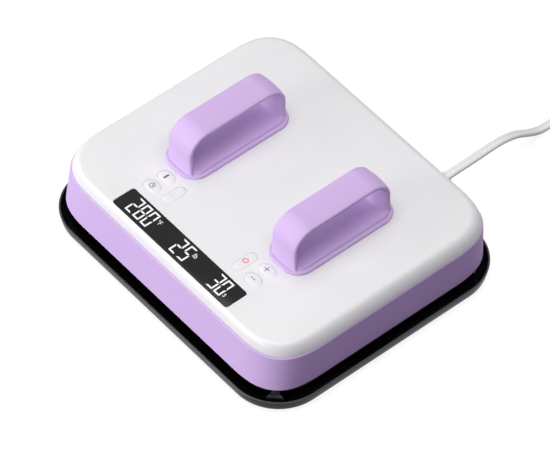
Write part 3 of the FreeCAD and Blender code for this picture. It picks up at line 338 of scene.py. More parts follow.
route = [
    GLAND,
    (0.0675, 0.188, 0.036),
    (0.0670, 0.212, 0.036),
    (0.0664, 0.233, 0.0355),
    (0.0654, 0.253, 0.0290),
    (0.0638, 0.270, 0.0165),
    (0.0618, 0.286, 0.0062),
    (0.0603, 0.302, 0.0026),
    (0.0600, 0.318, 0.0026),
]


def layer_height(layer):
    """The height of the cord's middle in that layer of the coil."""
    return FLOOR_GAP + CORD_THICK * (layer + 0.5)


def coil_points():
    """Turn by turn: outside, inside, up a layer, outside, up again, then out to the plug."""
    stops = [(COIL_OUTER, 0), (COIL_INNER, 0), (COIL_INNER, 1), (COIL_OUTER, 1), (COIL_OUTER, 2)]
    points = []
    for turn, (radius, layer) in enumerate(stops):
        last = turn == len(stops) - 1
        after = stops[turn + 1] if not last else stops[turn]
        steps = TURN_POINTS // 2 if last else TURN_POINTS
        for step in range(steps + (1 if last else 0)):
            share = step / TURN_POINTS
            ease = min(max((share - CLIMB_START) / (1 - CLIMB_START), 0), 1)
            here = radius + (after[0] - radius) * ease
            height = layer_height(layer) + CORD_THICK * (after[1] - layer) * ease
            angle = math.pi - 2 * math.pi * share
            x = COIL_MIDDLE.x + here * math.cos(angle)
            points.append((x, COIL_MIDDLE.y + here * math.sin(angle), height))
    return points


route += coil_points()
for share in (0.5, 1):
    y = COIL_MIDDLE.y - COIL_STUB * share
    route.append((COIL_MIDDLE.x + COIL_OUTER, y, layer_height(PLUG_LAYER)))
print("route points:", len(route))

# %% [markdown]
# The points are the control points of one smooth spline, which passes near them and never kinks.
# The jacket, the exit and the length are all taken from the points that this spline gives.

# %% The cord's line
curve = bpy.data.curves.new("cord_route", "CURVE")
curve.dimensions = "3D"
spline = curve.splines.new("NURBS")
spline.points.add(len(route) - 1)
for point, place in zip(spline.points, route):
    point.co = (*place, 1)
spline.order_u = 3
spline.use_endpoint_u = True
spline.resolution_u = 8
cord_line = bpy.data.objects.new("cord_route", curve)
line_mesh = bpy.data.meshes.new_from_object(cord_line)
cord_path = [tuple(vertex.co) for vertex in line_mesh.vertices]

# %% [markdown]
# ## Geometry Nodes helpers
#
# A node tree is built once as a group with named inputs. Its modifier is given values through
# the identifiers of those sockets, and the result is turned into a plain mesh.

# %% Geometry Nodes helpers


def new_tree(name, **inputs):
    """A geometry node group with a geometry input, one float input per name, and a material."""
    tree = bpy.data.node_groups.new(name, "GeometryNodeTree")
    tree.interface.new_socket("Geometry", in_out="OUTPUT", socket_type="NodeSocketGeometry")
    tree.interface.new_socket("Geometry", in_out="INPUT", socket_type="NodeSocketGeometry")
    tree.interface.new_socket("Material", in_out="INPUT", socket_type="NodeSocketMaterial")
    for label, value in inputs.items():
        socket = tree.interface.new_socket(label, in_out="INPUT", socket_type="NodeSocketFloat")
        socket.default_value = value
    source = tree.nodes.new("NodeGroupInput")
    result = tree.nodes.new("NodeGroupOutput")
    return tree, source.outputs, result.inputs


def finish_tree(tree, geometry, source, result):
    """Realize Instances and Set Material, so that the export finds a plain mesh."""
    real = add(tree, "GeometryNodeRealizeInstances", Geometry=geometry)
    colored = add(
        tree, "GeometryNodeSetMaterial", Geometry=real.outputs[0], Material=source["Material"],
    )
    tree.links.new(colored.outputs[0], result["Geometry"])


def grow(name, base, tree, **values):
    """Runs the tree on a base object and returns the mesh it makes as a new piece."""
    modifier = base.modifiers.new("nodes", "NODES")
    modifier.node_group = tree
    for item in tree.interface.items_tree:
        if item.in_out == "INPUT" and item.name in values:
            modifier[item.identifier] = values[item.name]
    evaluated = base.evaluated_get(bpy.context.evaluated_depsgraph_get())
    mesh = bpy.data.meshes.new_from_object(evaluated)
    mesh.name = name
    bpy.data.objects.remove(base)
    piece = bpy.data.objects.new(name, mesh)
    scene.collection.objects.link(piece)
    return piece


print("node groups so far:", len(bpy.data.node_groups))

# %% [markdown]
# ### The cord's jacket
#
# A flat twin cord is two insulated wires moulded side by side, so its section is an eight lying on
# its side, with a thin web at the bottom of the groove. It is drawn as a closed curve with a
# thickness of 1, so that one number sets its real size later.

# %% The cord's section
JACKET_STEPS = 28
GROOVE_DEPTH = 0.7
GROOVE_REACH = 0.5
WEB_SHARE = 0.06


def twin_section():
    """Half circles of both cores with the web between them, in thicknesses of the cord."""
    radius = 0.5
    shift = CORD_WIDTH / CORD_THICK / 2 - radius
    points = []
    for step in range(JACKET_STEPS):
        angle = 2 * math.pi * step / JACKET_STEPS
        across, up = math.cos(angle), math.sin(angle)
        if step % (JACKET_STEPS // 2) == JACKET_STEPS // 4:
            points.append((0, math.copysign(radius * WEB_SHARE, up), 0))
            continue
        x = math.copysign(shift, across) + radius * across
        groove = 1 - GROOVE_DEPTH * math.exp(-(x / (radius * GROOVE_REACH)) ** 2)
        points.append((x, radius * up * groove, 0))
    return points


def straight_runs(name, points, dimensions, closed):
    """A curve object with straight runs between the points."""
    data = bpy.data.curves.new(name, "CURVE")
    data.dimensions = dimensions
    line = data.splines.new("POLY")
    line.points.add(len(points) - 1)
    for point, place in zip(line.points, points):
        point.co = (*place, 1)
    line.use_cyclic_u = closed
    return bpy.data.objects.new(name, data)


section = straight_runs("twin_section", twin_section(), "2D", True)
print("section of", JACKET_STEPS, "points")

# %% [markdown]
# A curve with a round bevel can't have that section, so Geometry Nodes sweeps it along the line,
# with the line's normals kept upright and the section sized by the tree's input.

# %% The cord's jacket
JACKET_EDGE = 60


def sweep_along(name, path, section, thickness, material):
    """A mesh swept along a path of points, kept level as a flat cord lies."""
    tree, source, result = new_tree(name + "_tree", Thickness=thickness)
    upright = add(tree, "GeometryNodeSetCurveNormal", Curve=source["Geometry"])
    upright.mode = "Z_UP"
    shape = tree.nodes.new("GeometryNodeObjectInfo")
    shape.inputs["Object"].default_value = section
    sized = add(
        tree, "GeometryNodeTransform", Geometry=shape.outputs["Geometry"],
        Scale=source["Thickness"],
    )
    swept = add(
        tree, "GeometryNodeCurveToMesh", Curve=upright.outputs[0],
        Profile_Curve=sized.outputs[0], Fill_Caps=True,
    )
    finish_tree(tree, swept.outputs[0], source, result)
    base = straight_runs(name, path, "3D", False)
    scene.collection.objects.link(base)
    return grow(name, base, tree, Material=material, Thickness=thickness)


cord = sweep_along("mains_cord", cord_path, section, CORD_THICK, cord_jacket)
soften(cord, JACKET_EDGE)
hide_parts("power_cord", "cord_coil")
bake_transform(cord)
print("cord jacket:", len(cord.data.polygons), "faces")

# %% [markdown]
# ### The strain relief
#
# The strain relief is a soft sleeve. Rings and grooves take turns along it, so that it bends
# evenly, and it tapers from the round neck in the wall to the flat cord. It is a loft, because
# each ring's size is then simply the taper less the groove.

# %% Strain relief
relief_low, relief_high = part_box("strain_relief")
NECK = (relief_high.x - relief_low.x) / 2
TAPER_ACROSS, TAPER_UP = 0.26, 0.52
RELIEF_RIBS = 6
RELIEF_SIDES = 40
RIB_STEPS = 8
RIB_DEPTH = 0.0007
RIB_ROUND = 0.7
rings = []
steps = RELIEF_RIBS * RIB_STEPS
for step in range(steps + 1):
    share = step / steps
    wave = math.cos(share * RELIEF_RIBS * 2 * math.pi)
    groove = RIB_DEPTH * (0.5 - 0.5 * wave) ** RIB_ROUND
    half_x = NECK * (1 - TAPER_ACROSS * share) - groove
    half_z = NECK * (1 - TAPER_UP * share) - groove
    y = relief_low.y + (relief_high.y - relief_low.y) * share
    ring = []
    for turn in range(RELIEF_SIDES):
        angle = 2 * math.pi * turn / RELIEF_SIDES
        ring.append((GLAND[0] - half_x * math.cos(angle), y, GLAND[2] + half_z * math.sin(angle)))
    rings.append(ring)
relief = loft("relief_sleeve", rings)
soften(paint(relief, cord_jacket), 50)
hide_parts("strain_relief")
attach(relief, "press")
print("relief ribs:", RELIEF_RIBS)

# %% [markdown]
# ## The housing
#
# The white cover rolls over at its edge into a lilac band. The cover stands back a little from
# the band, so the band's upper edge shows as a bright line, mostly in front. Both are stacks of
# rings, and the sizes that they share come first.

# %% Sizes of the housing
CORNER_POWER = 3.0
COVER_CORNER = 0.0633
SIDE_GROWTH, BACK_GROWTH, FRONT_INSET = 0.0016, 0.0020, 0.0050
SIDE_ROLL, BACK_ROLL, FRONT_ROLL = 0.0122, 0.0105, 0.0060
CORNER_ROLL = 0.012

cover_low, cover_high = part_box("top_cover")
band_low, band_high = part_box("side_band")
seam = band_high.z
cover_side = cover_high.x + SIDE_GROWTH
cover_back = cover_high.y + BACK_GROWTH
cover_front = cover_low.y + FRONT_INSET


def body_ring(side, back, front, corner, z):
    """A ring of the housing from its half width, its back and front edges and its corners."""
    middle = (0, (back + front) / 2)
    return outline(side, (back - front) / 2, corner, z, CORNER_POWER, middle=middle)


def cover_ring(inset, z, rolled_in=0):
    """A ring of the cover: set in evenly, then by a share of the roll, least in front."""
    return body_ring(
        cover_side - inset - SIDE_ROLL * rolled_in,
        cover_back - inset - BACK_ROLL * rolled_in,
        cover_front + inset + FRONT_ROLL * rolled_in,
        COVER_CORNER - inset - CORNER_ROLL * rolled_in,
        z,
    )


print("cover", round(cover_side * 2, 4), "by", round(cover_back - cover_front, 4))

# %% [markdown]
# ### Top cover
#
# The cover is a real shell: the skin runs from the inner roof down the inside, round the lower
# lip and up the outside, where it rolls over to the flat top along a part of an ellipse.

# %% The cover's shell
COVER_WALL = 0.0025
LEDGE = 0.0004
ROOF_BEND = 1.08
WALL_SHARE = 0.7
ROLL_START = math.radians(24)
ROLL_STEPS = 16
foot = seam + LEDGE
drop = cover_high.z - foot
inner = [
    cover_ring(0, cover_high.z - COVER_WALL, ROOF_BEND),
    cover_ring(COVER_WALL, cover_high.z - drop * WALL_SHARE),
    cover_ring(COVER_WALL, foot),
]
outer = []
for step in range(ROLL_STEPS + 1):
    angle = ROLL_START + (math.pi / 2 - ROLL_START) * step / ROLL_STEPS
    rolled_in = 1 - math.cos(angle) / math.cos(ROLL_START)
    up = (math.sin(angle) - math.sin(ROLL_START)) / (1 - math.sin(ROLL_START))
    outer.append(cover_ring(0, foot + drop * up, rolled_in))
cover = loft("cover_shell", inner + outer)
print("cover's shell:", len(cover.data.polygons), "faces")

# %% [markdown]
# The window's recess and the button holes are cut out of the shell with booleans. Each cutter is
# a little larger than what goes into the opening, which leaves a fine gap round it, and it flares
# at the top, which leaves the fine chamfer that such openings have.

# %% Openings in the cover
OPENING_STEPS = 12
WINDOW_CHAMFER = 0.0003
BUTTON_CHAMFER = 0.00012
BUTTON_GAP = 0.00013
BUTTON_HOLE = 0.008
HOLE_END = 0.00005
WIDE_CAP_EDGE = Vector((0.0014, 0.0012, 0))
TALL_CAP_EDGE = Vector((0.0027, 0.0022, 0))
PANE_GROWTH = Vector((0.00125, 0.00085, 0))
PANE_GAP = 0.00025
PANE_CORNER = 0.003
RECESS_GAP = 0.0001


def opening(name, box, gap, bottom, corner, chamfer):
    """A cutter a little larger than what goes into the opening, flared at the top."""
    low, high = box
    half_x = (high.x - low.x) / 2 + gap
    half_y = (high.y - low.y) / 2 + gap
    middle = ((high.x + low.x) / 2, (high.y + low.y) / 2)
    levels = ((0, bottom), (0, cover_high.z - chamfer), (2 * chamfer, cover_high.z + chamfer))
    rings = []
    for flare, z in levels:
        rings.append(outline(
            half_x + flare, half_y + flare, corner + flare, z, steps=OPENING_STEPS, middle=middle,
        ))
    return loft(name, rings)


def cap_box(node):
    """The visible part of a button, without the flange that holds it in."""
    low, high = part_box(node)
    wide = high.x - low.x > high.y - low.y
    edge = WIDE_CAP_EDGE if wide else TALL_CAP_EDGE
    return low + edge, high - edge


print("openings leave", PANE_GAP, "m round the pane and", BUTTON_GAP, "m round a button")

# %% [markdown]
# The cutters are all set up first and cut in one go, and then removed. The finished cover stands
# in for the CAD cover and moves with the press.

# %% Cutting the cover
BUTTONS = sorted(name for name in nodes if name.startswith("button_"))
window_low, window_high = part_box("display_window")
pane_low, pane_high = window_low - PANE_GROWTH, window_high + PANE_GROWTH
cutters = [opening(
    "cut_window", (pane_low, pane_high), PANE_GAP, window_low.z - RECESS_GAP,
    PANE_CORNER + PANE_GAP, WINDOW_CHAMFER,
)]
for name in BUTTONS:
    low, high = cap_box(name)
    corner = min(high.x - low.x, high.y - low.y) / 2 + BUTTON_GAP - HOLE_END
    cutters.append(opening(
        "cut_" + name, (low, high), BUTTON_GAP, cover_high.z - BUTTON_HOLE, corner,
        BUTTON_CHAMFER,
    ))
carve(cover, cutters)
soften(paint(cover, white_shell), 30)
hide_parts("top_cover")
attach(cover, "press")
print("cover:", len(cover.data.polygons), "faces")

# %% [markdown]
# ### Side band
#
# The band stands out under the cover and ends in a rounded lip, which is widest in front and
# catches the light there as a thin pale line. The front leans back more than the other sides,
# which have only a mould's draft. The rings go up the outside, over the lip and down the inside,
# and the last one joins the first.

# %% Side band
LIP_ROUND = 0.0012
LIP_STEPS = 8
BAND_STEP = 0.0007
FRONT_STEP = 0.0018
BAND_WALL = 0.0027
BAND_CORNER = COVER_CORNER + BAND_STEP
FOOT_EDGE = 0.0004
shoulder = seam - LIP_ROUND


def band_ring(inset, z):
    """A ring of the band at that height, between its foot and its shoulder."""
    share = min((z - band_low.z) / (shoulder - band_low.z), 1)
    sides = []
    for low_edge, high_edge in (
        (band_high.x, cover_side + BAND_STEP),
        (band_high.y, cover_back + BAND_STEP),
        (-band_low.y, FRONT_STEP - cover_front),
    ):
        sides.append(low_edge + (high_edge - low_edge) * share - inset)
    return body_ring(sides[0], sides[1], -sides[2], BAND_CORNER - inset, z)


band_rings = [band_ring(FOOT_EDGE, band_low.z), band_ring(0, band_low.z + FOOT_EDGE)]
for share in (0.25, 0.5, 0.75):
    band_rings.append(band_ring(0, band_low.z + (shoulder - band_low.z) * share))
for across, up in quarter(LIP_STEPS):
    band_rings.append(band_ring(LIP_ROUND * (1 - across), shoulder + LIP_ROUND * up))
band_rings.append(band_ring(BAND_WALL, seam))
band_rings.append(band_ring(BAND_WALL, band_low.z))
band = loft("lilac_band", band_rings, close=True)
soften(paint(band, lilac_shell), 40)
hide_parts("side_band")
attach(band, "press")
print("band:", len(band.data.polygons), "faces")

# %% [markdown]
# ## The display
#
# The display is one smoked pane, sunk flush into the cover. It could be a dark patch in the
# cover's material, but as a piece of its own it has its own gloss, a rounded edge and a fine gap.

# %% Display pane
PANE_EDGE = 0.0003
PANE_EDGE_STEPS = 4
PANE_CORNER_STEPS = 10
PANE_SINK = 0.0001
pane_half = (pane_high - pane_low) / 2
pane_middle = (pane_high + pane_low) / 2
pane_top = cover_high.z - PANE_SINK


def pane_ring(inset, z):
    """A ring of the pane at that height."""
    return outline(
        pane_half.x - inset, pane_half.y - inset, PANE_CORNER - inset, z,
        steps=PANE_CORNER_STEPS, middle=(pane_middle.x, pane_middle.y),
    )


pane_rings = [pane_ring(0, window_low.z)]
for across, up in quarter(PANE_EDGE_STEPS):
    pane_rings.append(pane_ring(PANE_EDGE * (1 - across), pane_top - PANE_EDGE * (1 - up)))
pane = loft("display_pane", pane_rings)
soften(paint(pane, smoked_window), 35)
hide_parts("display_window")
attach(pane, "press")
print("pane:", round(pane_half.x * 2, 4), "by", round(pane_half.y * 2, 4))

# %% [markdown]
# ### Digits of light
#
# Behind such a pane sits a module with bars of light, seven to a digit, and only the lit bars
# show. They could be part of one bright material, but as thin plates on the pane they stay sharp
# and readable from every side.

# %% The bars and their light
BAR_THICK = 0.0018
BAR_GAP = 0.00025
BAR_HEIGHT = 0.00006
DIGIT_HALF_WIDTH = 0.0043
DIGIT_HALF_HEIGHT = 0.01005
DIGIT_ROW = -0.11505
DIGIT_PLACES = (
    ("2", -0.06685), ("8", -0.05575), ("0", -0.04465),
    ("2", -0.00095), ("5", 0.0106),
    ("3", 0.0547), ("0", 0.06535),
)
EDGE_BARS = {"top": 1, "bottom": -1}
UPRIGHT_BARS = {
    "upper left": (-1, 1), "upper right": (1, 1),
    "lower left": (-1, -1), "lower right": (1, -1),
}
LIT = {
    "0": ("top", "bottom", "upper left", "upper right", "lower left", "lower right"),
    "2": ("top", "middle", "bottom", "upper right", "lower left"),
    "3": ("top", "middle", "bottom", "upper right", "lower right"),
    "5": ("top", "middle", "bottom", "upper left", "lower right"),
    "8": ("top", "middle", "bottom", *UPRIGHT_BARS),
}
LIT_LOW, LIT_HIGH = 0.80, 0.86
LIT_PATCH = 0.002

lit_white, lit_tree, lit_shader = new_material("lit_white")
lit_shader.inputs["Base Color"].default_value = (0.10, 0.10, 0.10, 1)
lit_shader.inputs["Roughness"].default_value = 0.5
lit_shader.inputs["Emission Color"].default_value = (0.96, 1.0, 1.0, 1)
glimmer = between(lit_tree, noise(lit_tree, LIT_PATCH), LIT_LOW, LIT_HIGH)
lit_tree.links.new(glimmer, lit_shader.inputs["Emission Strength"])
print("digits:", "".join(digit for digit, _ in DIGIT_PLACES))

# %% [markdown]
# The same few bars repeat in every digit, so Geometry Nodes sets one bar on each point of a small
# list, turned as the point's own attribute says. The bar is drawn with a height of 1, and the
# tree's input says how high it stands.

# %% Bars set on points


def bars(name, rim, spots, turns):
    """One flat bar of that outline on each spot, turned about Z."""
    shape = loft(name + "_shape", [[(x, y, z) for x, y in rim] for z in (0, 1)])
    scene.collection.objects.unlink(shape)
    tree, source, result = new_tree(name, Height=BAR_HEIGHT)
    model = tree.nodes.new("GeometryNodeObjectInfo")
    model.inputs["Object"].default_value = shape
    turn = add(tree, "GeometryNodeInputNamedAttribute", Name="turn")
    about_z = add(tree, "ShaderNodeCombineXYZ", Z=turn.outputs["Attribute"])
    turned = add(tree, "FunctionNodeEulerToRotation", Euler=about_z.outputs[0])
    size = add(tree, "ShaderNodeCombineXYZ", X=1, Y=1, Z=source["Height"])
    placed = add(
        tree, "GeometryNodeInstanceOnPoints", Points=source["Geometry"],
        Instance=model.outputs["Geometry"], Rotation=turned.outputs[0], Scale=size.outputs[0],
    )
    finish_tree(tree, placed.outputs[0], source, result)
    dots = new_piece(name + "_spots", spots, [])
    dots.data.attributes.new("turn", "FLOAT", "POINT").data.foreach_set("value", turns)
    piece = grow(name, dots, tree, Material=lit_white, Height=BAR_HEIGHT)
    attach(piece, "press")


def edge_bar(length):
    """A bar whose long side, away from the digit's middle, is the upper one."""
    half, thick = length / 2 - BAR_GAP / 2, BAR_THICK / 2
    return [(-half, thick), (BAR_THICK - half, -thick), (half - BAR_THICK, -thick), (half, thick)]


print("a bar is", BAR_THICK, "m wide and", BAR_HEIGHT, "m high")

# %% [markdown]
# A bar at the top or the bottom of a digit lies across and one at a side stands upright, and all
# of them turn their long edge outwards. The middle bar is pointed at both ends.

# %% The digits
tip = DIGIT_HALF_WIDTH - BAR_THICK / 2 - BAR_GAP
lower = -BAR_THICK / 2
middle_bar = [(-tip, 0), (-tip - lower, lower), (tip + lower, lower)]
middle_bar += [(-x, -y) for x, y in middle_bar]
spots = {"edge": [], "upright": [], "middle": []}
turns = {"edge": [], "upright": [], "middle": []}
for digit, column in DIGIT_PLACES:
    for name in LIT[digit]:
        x, y, turn, kind = column, DIGIT_ROW, 0, "middle"
        if name in EDGE_BARS:
            y += (DIGIT_HALF_HEIGHT - BAR_THICK / 2) * EDGE_BARS[name]
            turn, kind = 90 - 90 * EDGE_BARS[name], "edge"
        elif name in UPRIGHT_BARS:
            side, level = UPRIGHT_BARS[name]
            x += (DIGIT_HALF_WIDTH - BAR_THICK / 2) * side
            y += DIGIT_HALF_HEIGHT * level / 2
            turn, kind = -90 * side, "upright"
        spots[kind].append((x, y, pane_top))
        turns[kind].append(math.radians(turn))
bars("digits_edge", edge_bar(DIGIT_HALF_WIDTH * 2), spots["edge"], turns["edge"])
bars("digits_upright", edge_bar(DIGIT_HALF_HEIGHT), spots["upright"], turns["upright"])
bars("digits_middle", middle_bar, spots["middle"], turns["middle"])
print("bars:", sum(len(places) for places in spots.values()))

# %% [markdown]
# ### Units
#
# Small lit letters say what each number counts: degrees, pounds and seconds. A text object gives
# plain letters. Stretching their mesh to fill a measured box sets them exactly, which is simpler
# than working with a font's own size and spacing.

# %% Units
UNIT_BOXES = {
    "°F": (-0.0380, -0.0332, -0.1136, -0.1079),
    "lb": (0.0161, 0.0206, -0.1136, -0.1081),
    "s": (0.0716, 0.0737, -0.1225, -0.1180),
}
LETTER_DEPTH = 0.05
LETTER_STEPS = 4


def lettering(name, text, box, bottom, height, material):
    """Raised letters stretched to fill a box of left, right, front and back."""
    data = bpy.data.curves.new(name, "FONT")
    data.body = text
    data.extrude = LETTER_DEPTH
    data.resolution_u = LETTER_STEPS
    holder = bpy.data.objects.new(name, data)
    mesh = bpy.data.meshes.new_from_object(holder)
    bpy.data.objects.remove(holder)
    corners = np.array([vertex.co for vertex in mesh.vertices])
    low, size = corners.min(0), np.ptp(corners, axis=0)
    start = np.array((box[0], box[2], bottom))
    spread = np.array((box[1] - box[0], box[3] - box[2], height))
    mesh.vertices.foreach_set("co", (start + (corners - low) / size * spread).ravel())
    piece = bpy.data.objects.new(name, mesh)
    scene.collection.objects.link(piece)
    return paint(piece, material)


for text, box in UNIT_BOXES.items():
    name = "unit_" + str(len(text)) + text[-1]
    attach(lettering(name, text, box, pane_top, BAR_HEIGHT, lit_white), "press")
print("units:", len(UNIT_BOXES))

# %% [markdown]
# ## The buttons
#
# Each cap is a soft pillow that stands a little above the cover. Under the cover it widens into a
# flange, which stops it from falling out. It is a loft of rings with round ends: two for the
# flange, two for the wall, and a dozen that close in over the crown.

# %% Button caps
CAP_ROUND = 0.0003
CAP_STEPS = 12
CAP_CENTER = 0.0003
CAP_EASE = 1.3
CAP_END_STEPS = 12
CAP_END = 0.00002
FLANGE_TOP = 0.0740


def stadium(low, high, inset, z):
    """A ring with fully round ends inside a box."""
    half_x, half_y = (high.x - low.x) / 2 - inset, (high.y - low.y) / 2 - inset
    corner = min(half_x, half_y) - CAP_END
    middle = ((low.x + high.x) / 2, (low.y + high.y) / 2)
    return outline(half_x, half_y, corner, z, steps=CAP_END_STEPS, middle=middle)


for name in BUTTONS:
    flange_low, flange_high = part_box(name)
    low, high = cap_box(name)
    reach = min(high.x - low.x, high.y - low.y) / 2
    wall_top = cover_high.z - CAP_ROUND
    rings = [
        stadium(flange_low, flange_high, 0, flange_low.z),
        stadium(flange_low, flange_high, 0, FLANGE_TOP),
        stadium(low, high, 0, FLANGE_TOP),
        stadium(low, high, 0, wall_top),
    ]
    for step in range(1, CAP_STEPS + 1):
        share = step / CAP_STEPS
        inset = (reach - CAP_CENTER) * share ** CAP_EASE
        rise = (CAP_ROUND + flange_high.z - cover_high.z) * (1 - (1 - share) ** 3)
        rings.append(stadium(low, high, inset, wall_top + rise))
    cap = loft("cap_" + name.replace("button_", ""), rings)
    soften(paint(cap, button_cap), 50)
    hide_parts(name)
    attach(cap, name)
print("caps:", len(BUTTONS))

# %% [markdown]
# ### Signs on the buttons
#
# The signs on the caps are printed in thin lines of ink, dark, pale or red. They could be painted
# in the material, but a plate of ink, thinner than a hair, has a clean edge in every view and in
# the export. Straight strokes and arcs are enough for all six, so two small functions draw them.

# %% Strokes of ink
SIGN_HEIGHT = 0.00003
SIGN_SINK = 0.00002
SIGN_LINE = 0.0008
ARC_STEPS = 24
sign_grey = plastic("sign_grey", (0.04, 0.04, 0.04), 0.5)
sign_soft = plastic("sign_soft", (0.10, 0.10, 0.10), 0.5)
sign_pale = plastic("sign_pale", (0.66, 0.66, 0.67), 0.5)
sign_red = plastic("sign_red", (0.72, 0.01, 0.03), 0.4)


def stroke(start, end, width=SIGN_LINE):
    """The outline of a straight line with square ends."""
    (x0, y0), (x1, y1) = start, end
    along = Vector((x1 - x0, y1 - y0)).normalized() * width / 2
    side = Vector((-along.y, along.x))
    corners = []
    for x, y, lead, hand in ((x0, y0, -1, -1), (x1, y1, 1, -1), (x1, y1, 1, 1), (x0, y0, -1, 1)):
        corners.append((x + along.x * lead + side.x * hand, y + along.y * lead + side.y * hand))
    return corners


def arc_strokes(radius, start, end, width=SIGN_LINE):
    """A bent line about the middle, as a strip of four-sided shapes."""
    outer, inner = [], []
    for step in range(ARC_STEPS + 1):
        angle = math.radians(start + (end - start) * step / ARC_STEPS)
        x, y = math.cos(angle), math.sin(angle)
        outer.append(((radius + width / 2) * x, (radius + width / 2) * y))
        inner.append(((radius - width / 2) * x, (radius - width / 2) * y))
    return [(outer[i], outer[i + 1], inner[i + 1], inner[i]) for i in range(ARC_STEPS)]


def sign(node, middle, shapes, material):
    """Thin prisms over flat four-sided shapes, standing on the crown of a button."""
    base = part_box(node)[1].z - SIGN_SINK
    points, faces = [], []
    for shape in shapes:
        first = len(points)
        points += [(middle[0] + x, middle[1] + y, base) for x, y in shape]
        points += [(middle[0] + x, middle[1] + y, base + SIGN_HEIGHT) for x, y in shape]
        faces.append(tuple(first + i for i in (3, 2, 1, 0)))
        faces.append(tuple(first + i for i in (4, 5, 6, 7)))
        for a, b in ((0, 1), (1, 2), (2, 3), (3, 0)):
            faces.append((first + a, first + b, first + b + 4, first + a + 4))
    piece = new_piece("sign_" + node.replace("button_", ""), points, faces)
    paint(piece, material)
    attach(piece, node)


print("a bent line has", len(arc_strokes(1, 0, 360)), "strokes")

# %% [markdown]
# The six signs are a clock, a bar, a ring, a power sign, plus and minus. Each is set down at its
# own place on a button's crown and moves with that button.

# %% Signs on the buttons
CLOCK_RADIUS, RING_RADIUS, POWER_RADIUS = 0.0027, 0.0022, 0.0027
POWER_LINE = 0.0009
BAR_SIGN_LINE = 0.0021
ARM = 0.0028
ARM_GAP = 0.0004
clock = arc_strokes(CLOCK_RADIUS, 0, 360)
clock += [stroke((0, 0), (0, 0.0015)), stroke((0, 0), (0.0012, -0.0006))]
power = arc_strokes(POWER_RADIUS, 125, 415, POWER_LINE)
power += [stroke((0, 0.0010), (0, 0.0032), POWER_LINE)]
plus = [stroke((-ARM, 0), (-ARM_GAP, 0)), stroke((ARM_GAP, 0), (ARM, 0))]
plus += [stroke((0, -ARM), (0, ARM))]
bar = [stroke((0, -0.0022), (0, 0.0022), BAR_SIGN_LINE)]
sign("button_power", (-0.0761, -0.0870), clock, sign_soft)
sign("button_timer", (-0.0761, -0.0698), bar, sign_soft)
sign("button_mode", (-0.0545, -0.0800), arc_strokes(RING_RADIUS, 0, 360), sign_pale)
sign("button_pressure", (0.0530, -0.0782), power, sign_red)
sign("button_plus", (0.0741, -0.0696), plus, sign_grey)
sign("button_minus", (0.0741, -0.0868), [stroke((-ARM, 0), (ARM, 0))], sign_grey)

# %% [markdown]
# ## The handles
#
# A moulded loop has no hard joints: the strap melts into the floor of the hand well, and every
# edge is rounded. Such a form is easiest to say as a distance: how far is a point from the strap,
# from the flange, from the well? Blending those distances blends the forms. The skin is then laid
# where the distance is zero, one point to each small cell, and slid onto the exact surface.

# %% Sizes of a handle in millimetres
MM = 0.001
handle_low, handle_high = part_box("handle_left")
FLANGE_HALF = (
    (handle_high.x - handle_low.x) / 2 / MM,
    (handle_high.y - handle_low.y) / 2 / MM,
)
GRIP_TOP = (handle_high.z - handle_low.z) / MM
FLANGE_CORNER = 19
FLANGE_THICK = 3
FLANGE_EDGE = 2.2
SADDLE_INSET = 4
SADDLE_RISE = 2.2
SADDLE_EDGE = 1.6
DISH_DEPTH = 2.0
DISH_MARGIN = 1
DISH_FLAT = 36
DISH_RUN = 14
GRIP_HALF_LENGTH = 61
GRIP_HALF_WIDTH = 17
GRIP_SHOULDER = 24
GRIP_CROWN = 1.4
GRIP_EDGE = 3.6
GRIP_BELLY = 11
GRIP_FLARE = 1.0
FLARE_TOP = 4
FLARE_FADE = 5
MOUTH_EDGE = 1.8
STRAP_EDGE = 2.4
SEAT_BLEND = 0.9
OUTER_FILLET = 1.2
INNER_FILLET = 4.3
INDOORS_FROM = 5
INDOORS_RUN = 4
UNDERSIDE_EDGE = 0.5
BURIED = 60
print("flange", [round(x, 1) for x in FLANGE_HALF], "grip top", round(GRIP_TOP, 1), "mm")

# %% [markdown]
# Two rules blend distances: the smaller of two joins the forms with a fillet, and the larger cuts
# one by the other with a rounded edge. With them the flange, its shallow saddle and the arched
# strap become one form.

# %% Distances that describe a handle


def soft_min(one, other, blend):
    """The smaller distance, with a fillet of about that size where the two forms meet."""
    share = np.maximum(blend - np.abs(one - other), 0) / blend
    return np.minimum(one, other) - share * share * blend / 4


def soft_max(one, other, blend):
    """The larger distance, with an edge rounded by about that size."""
    return -soft_min(-one, -other, blend)


def from_rectangle(x, y, half_x, half_y, corner):
    """Signed distance to a rectangle with rounded corners."""
    across = np.abs(x) - half_x + corner
    along = np.abs(y) - half_y + corner
    outside = np.hypot(np.maximum(across, 0), np.maximum(along, 0))
    return outside + np.minimum(np.maximum(across, along), 0) - corner


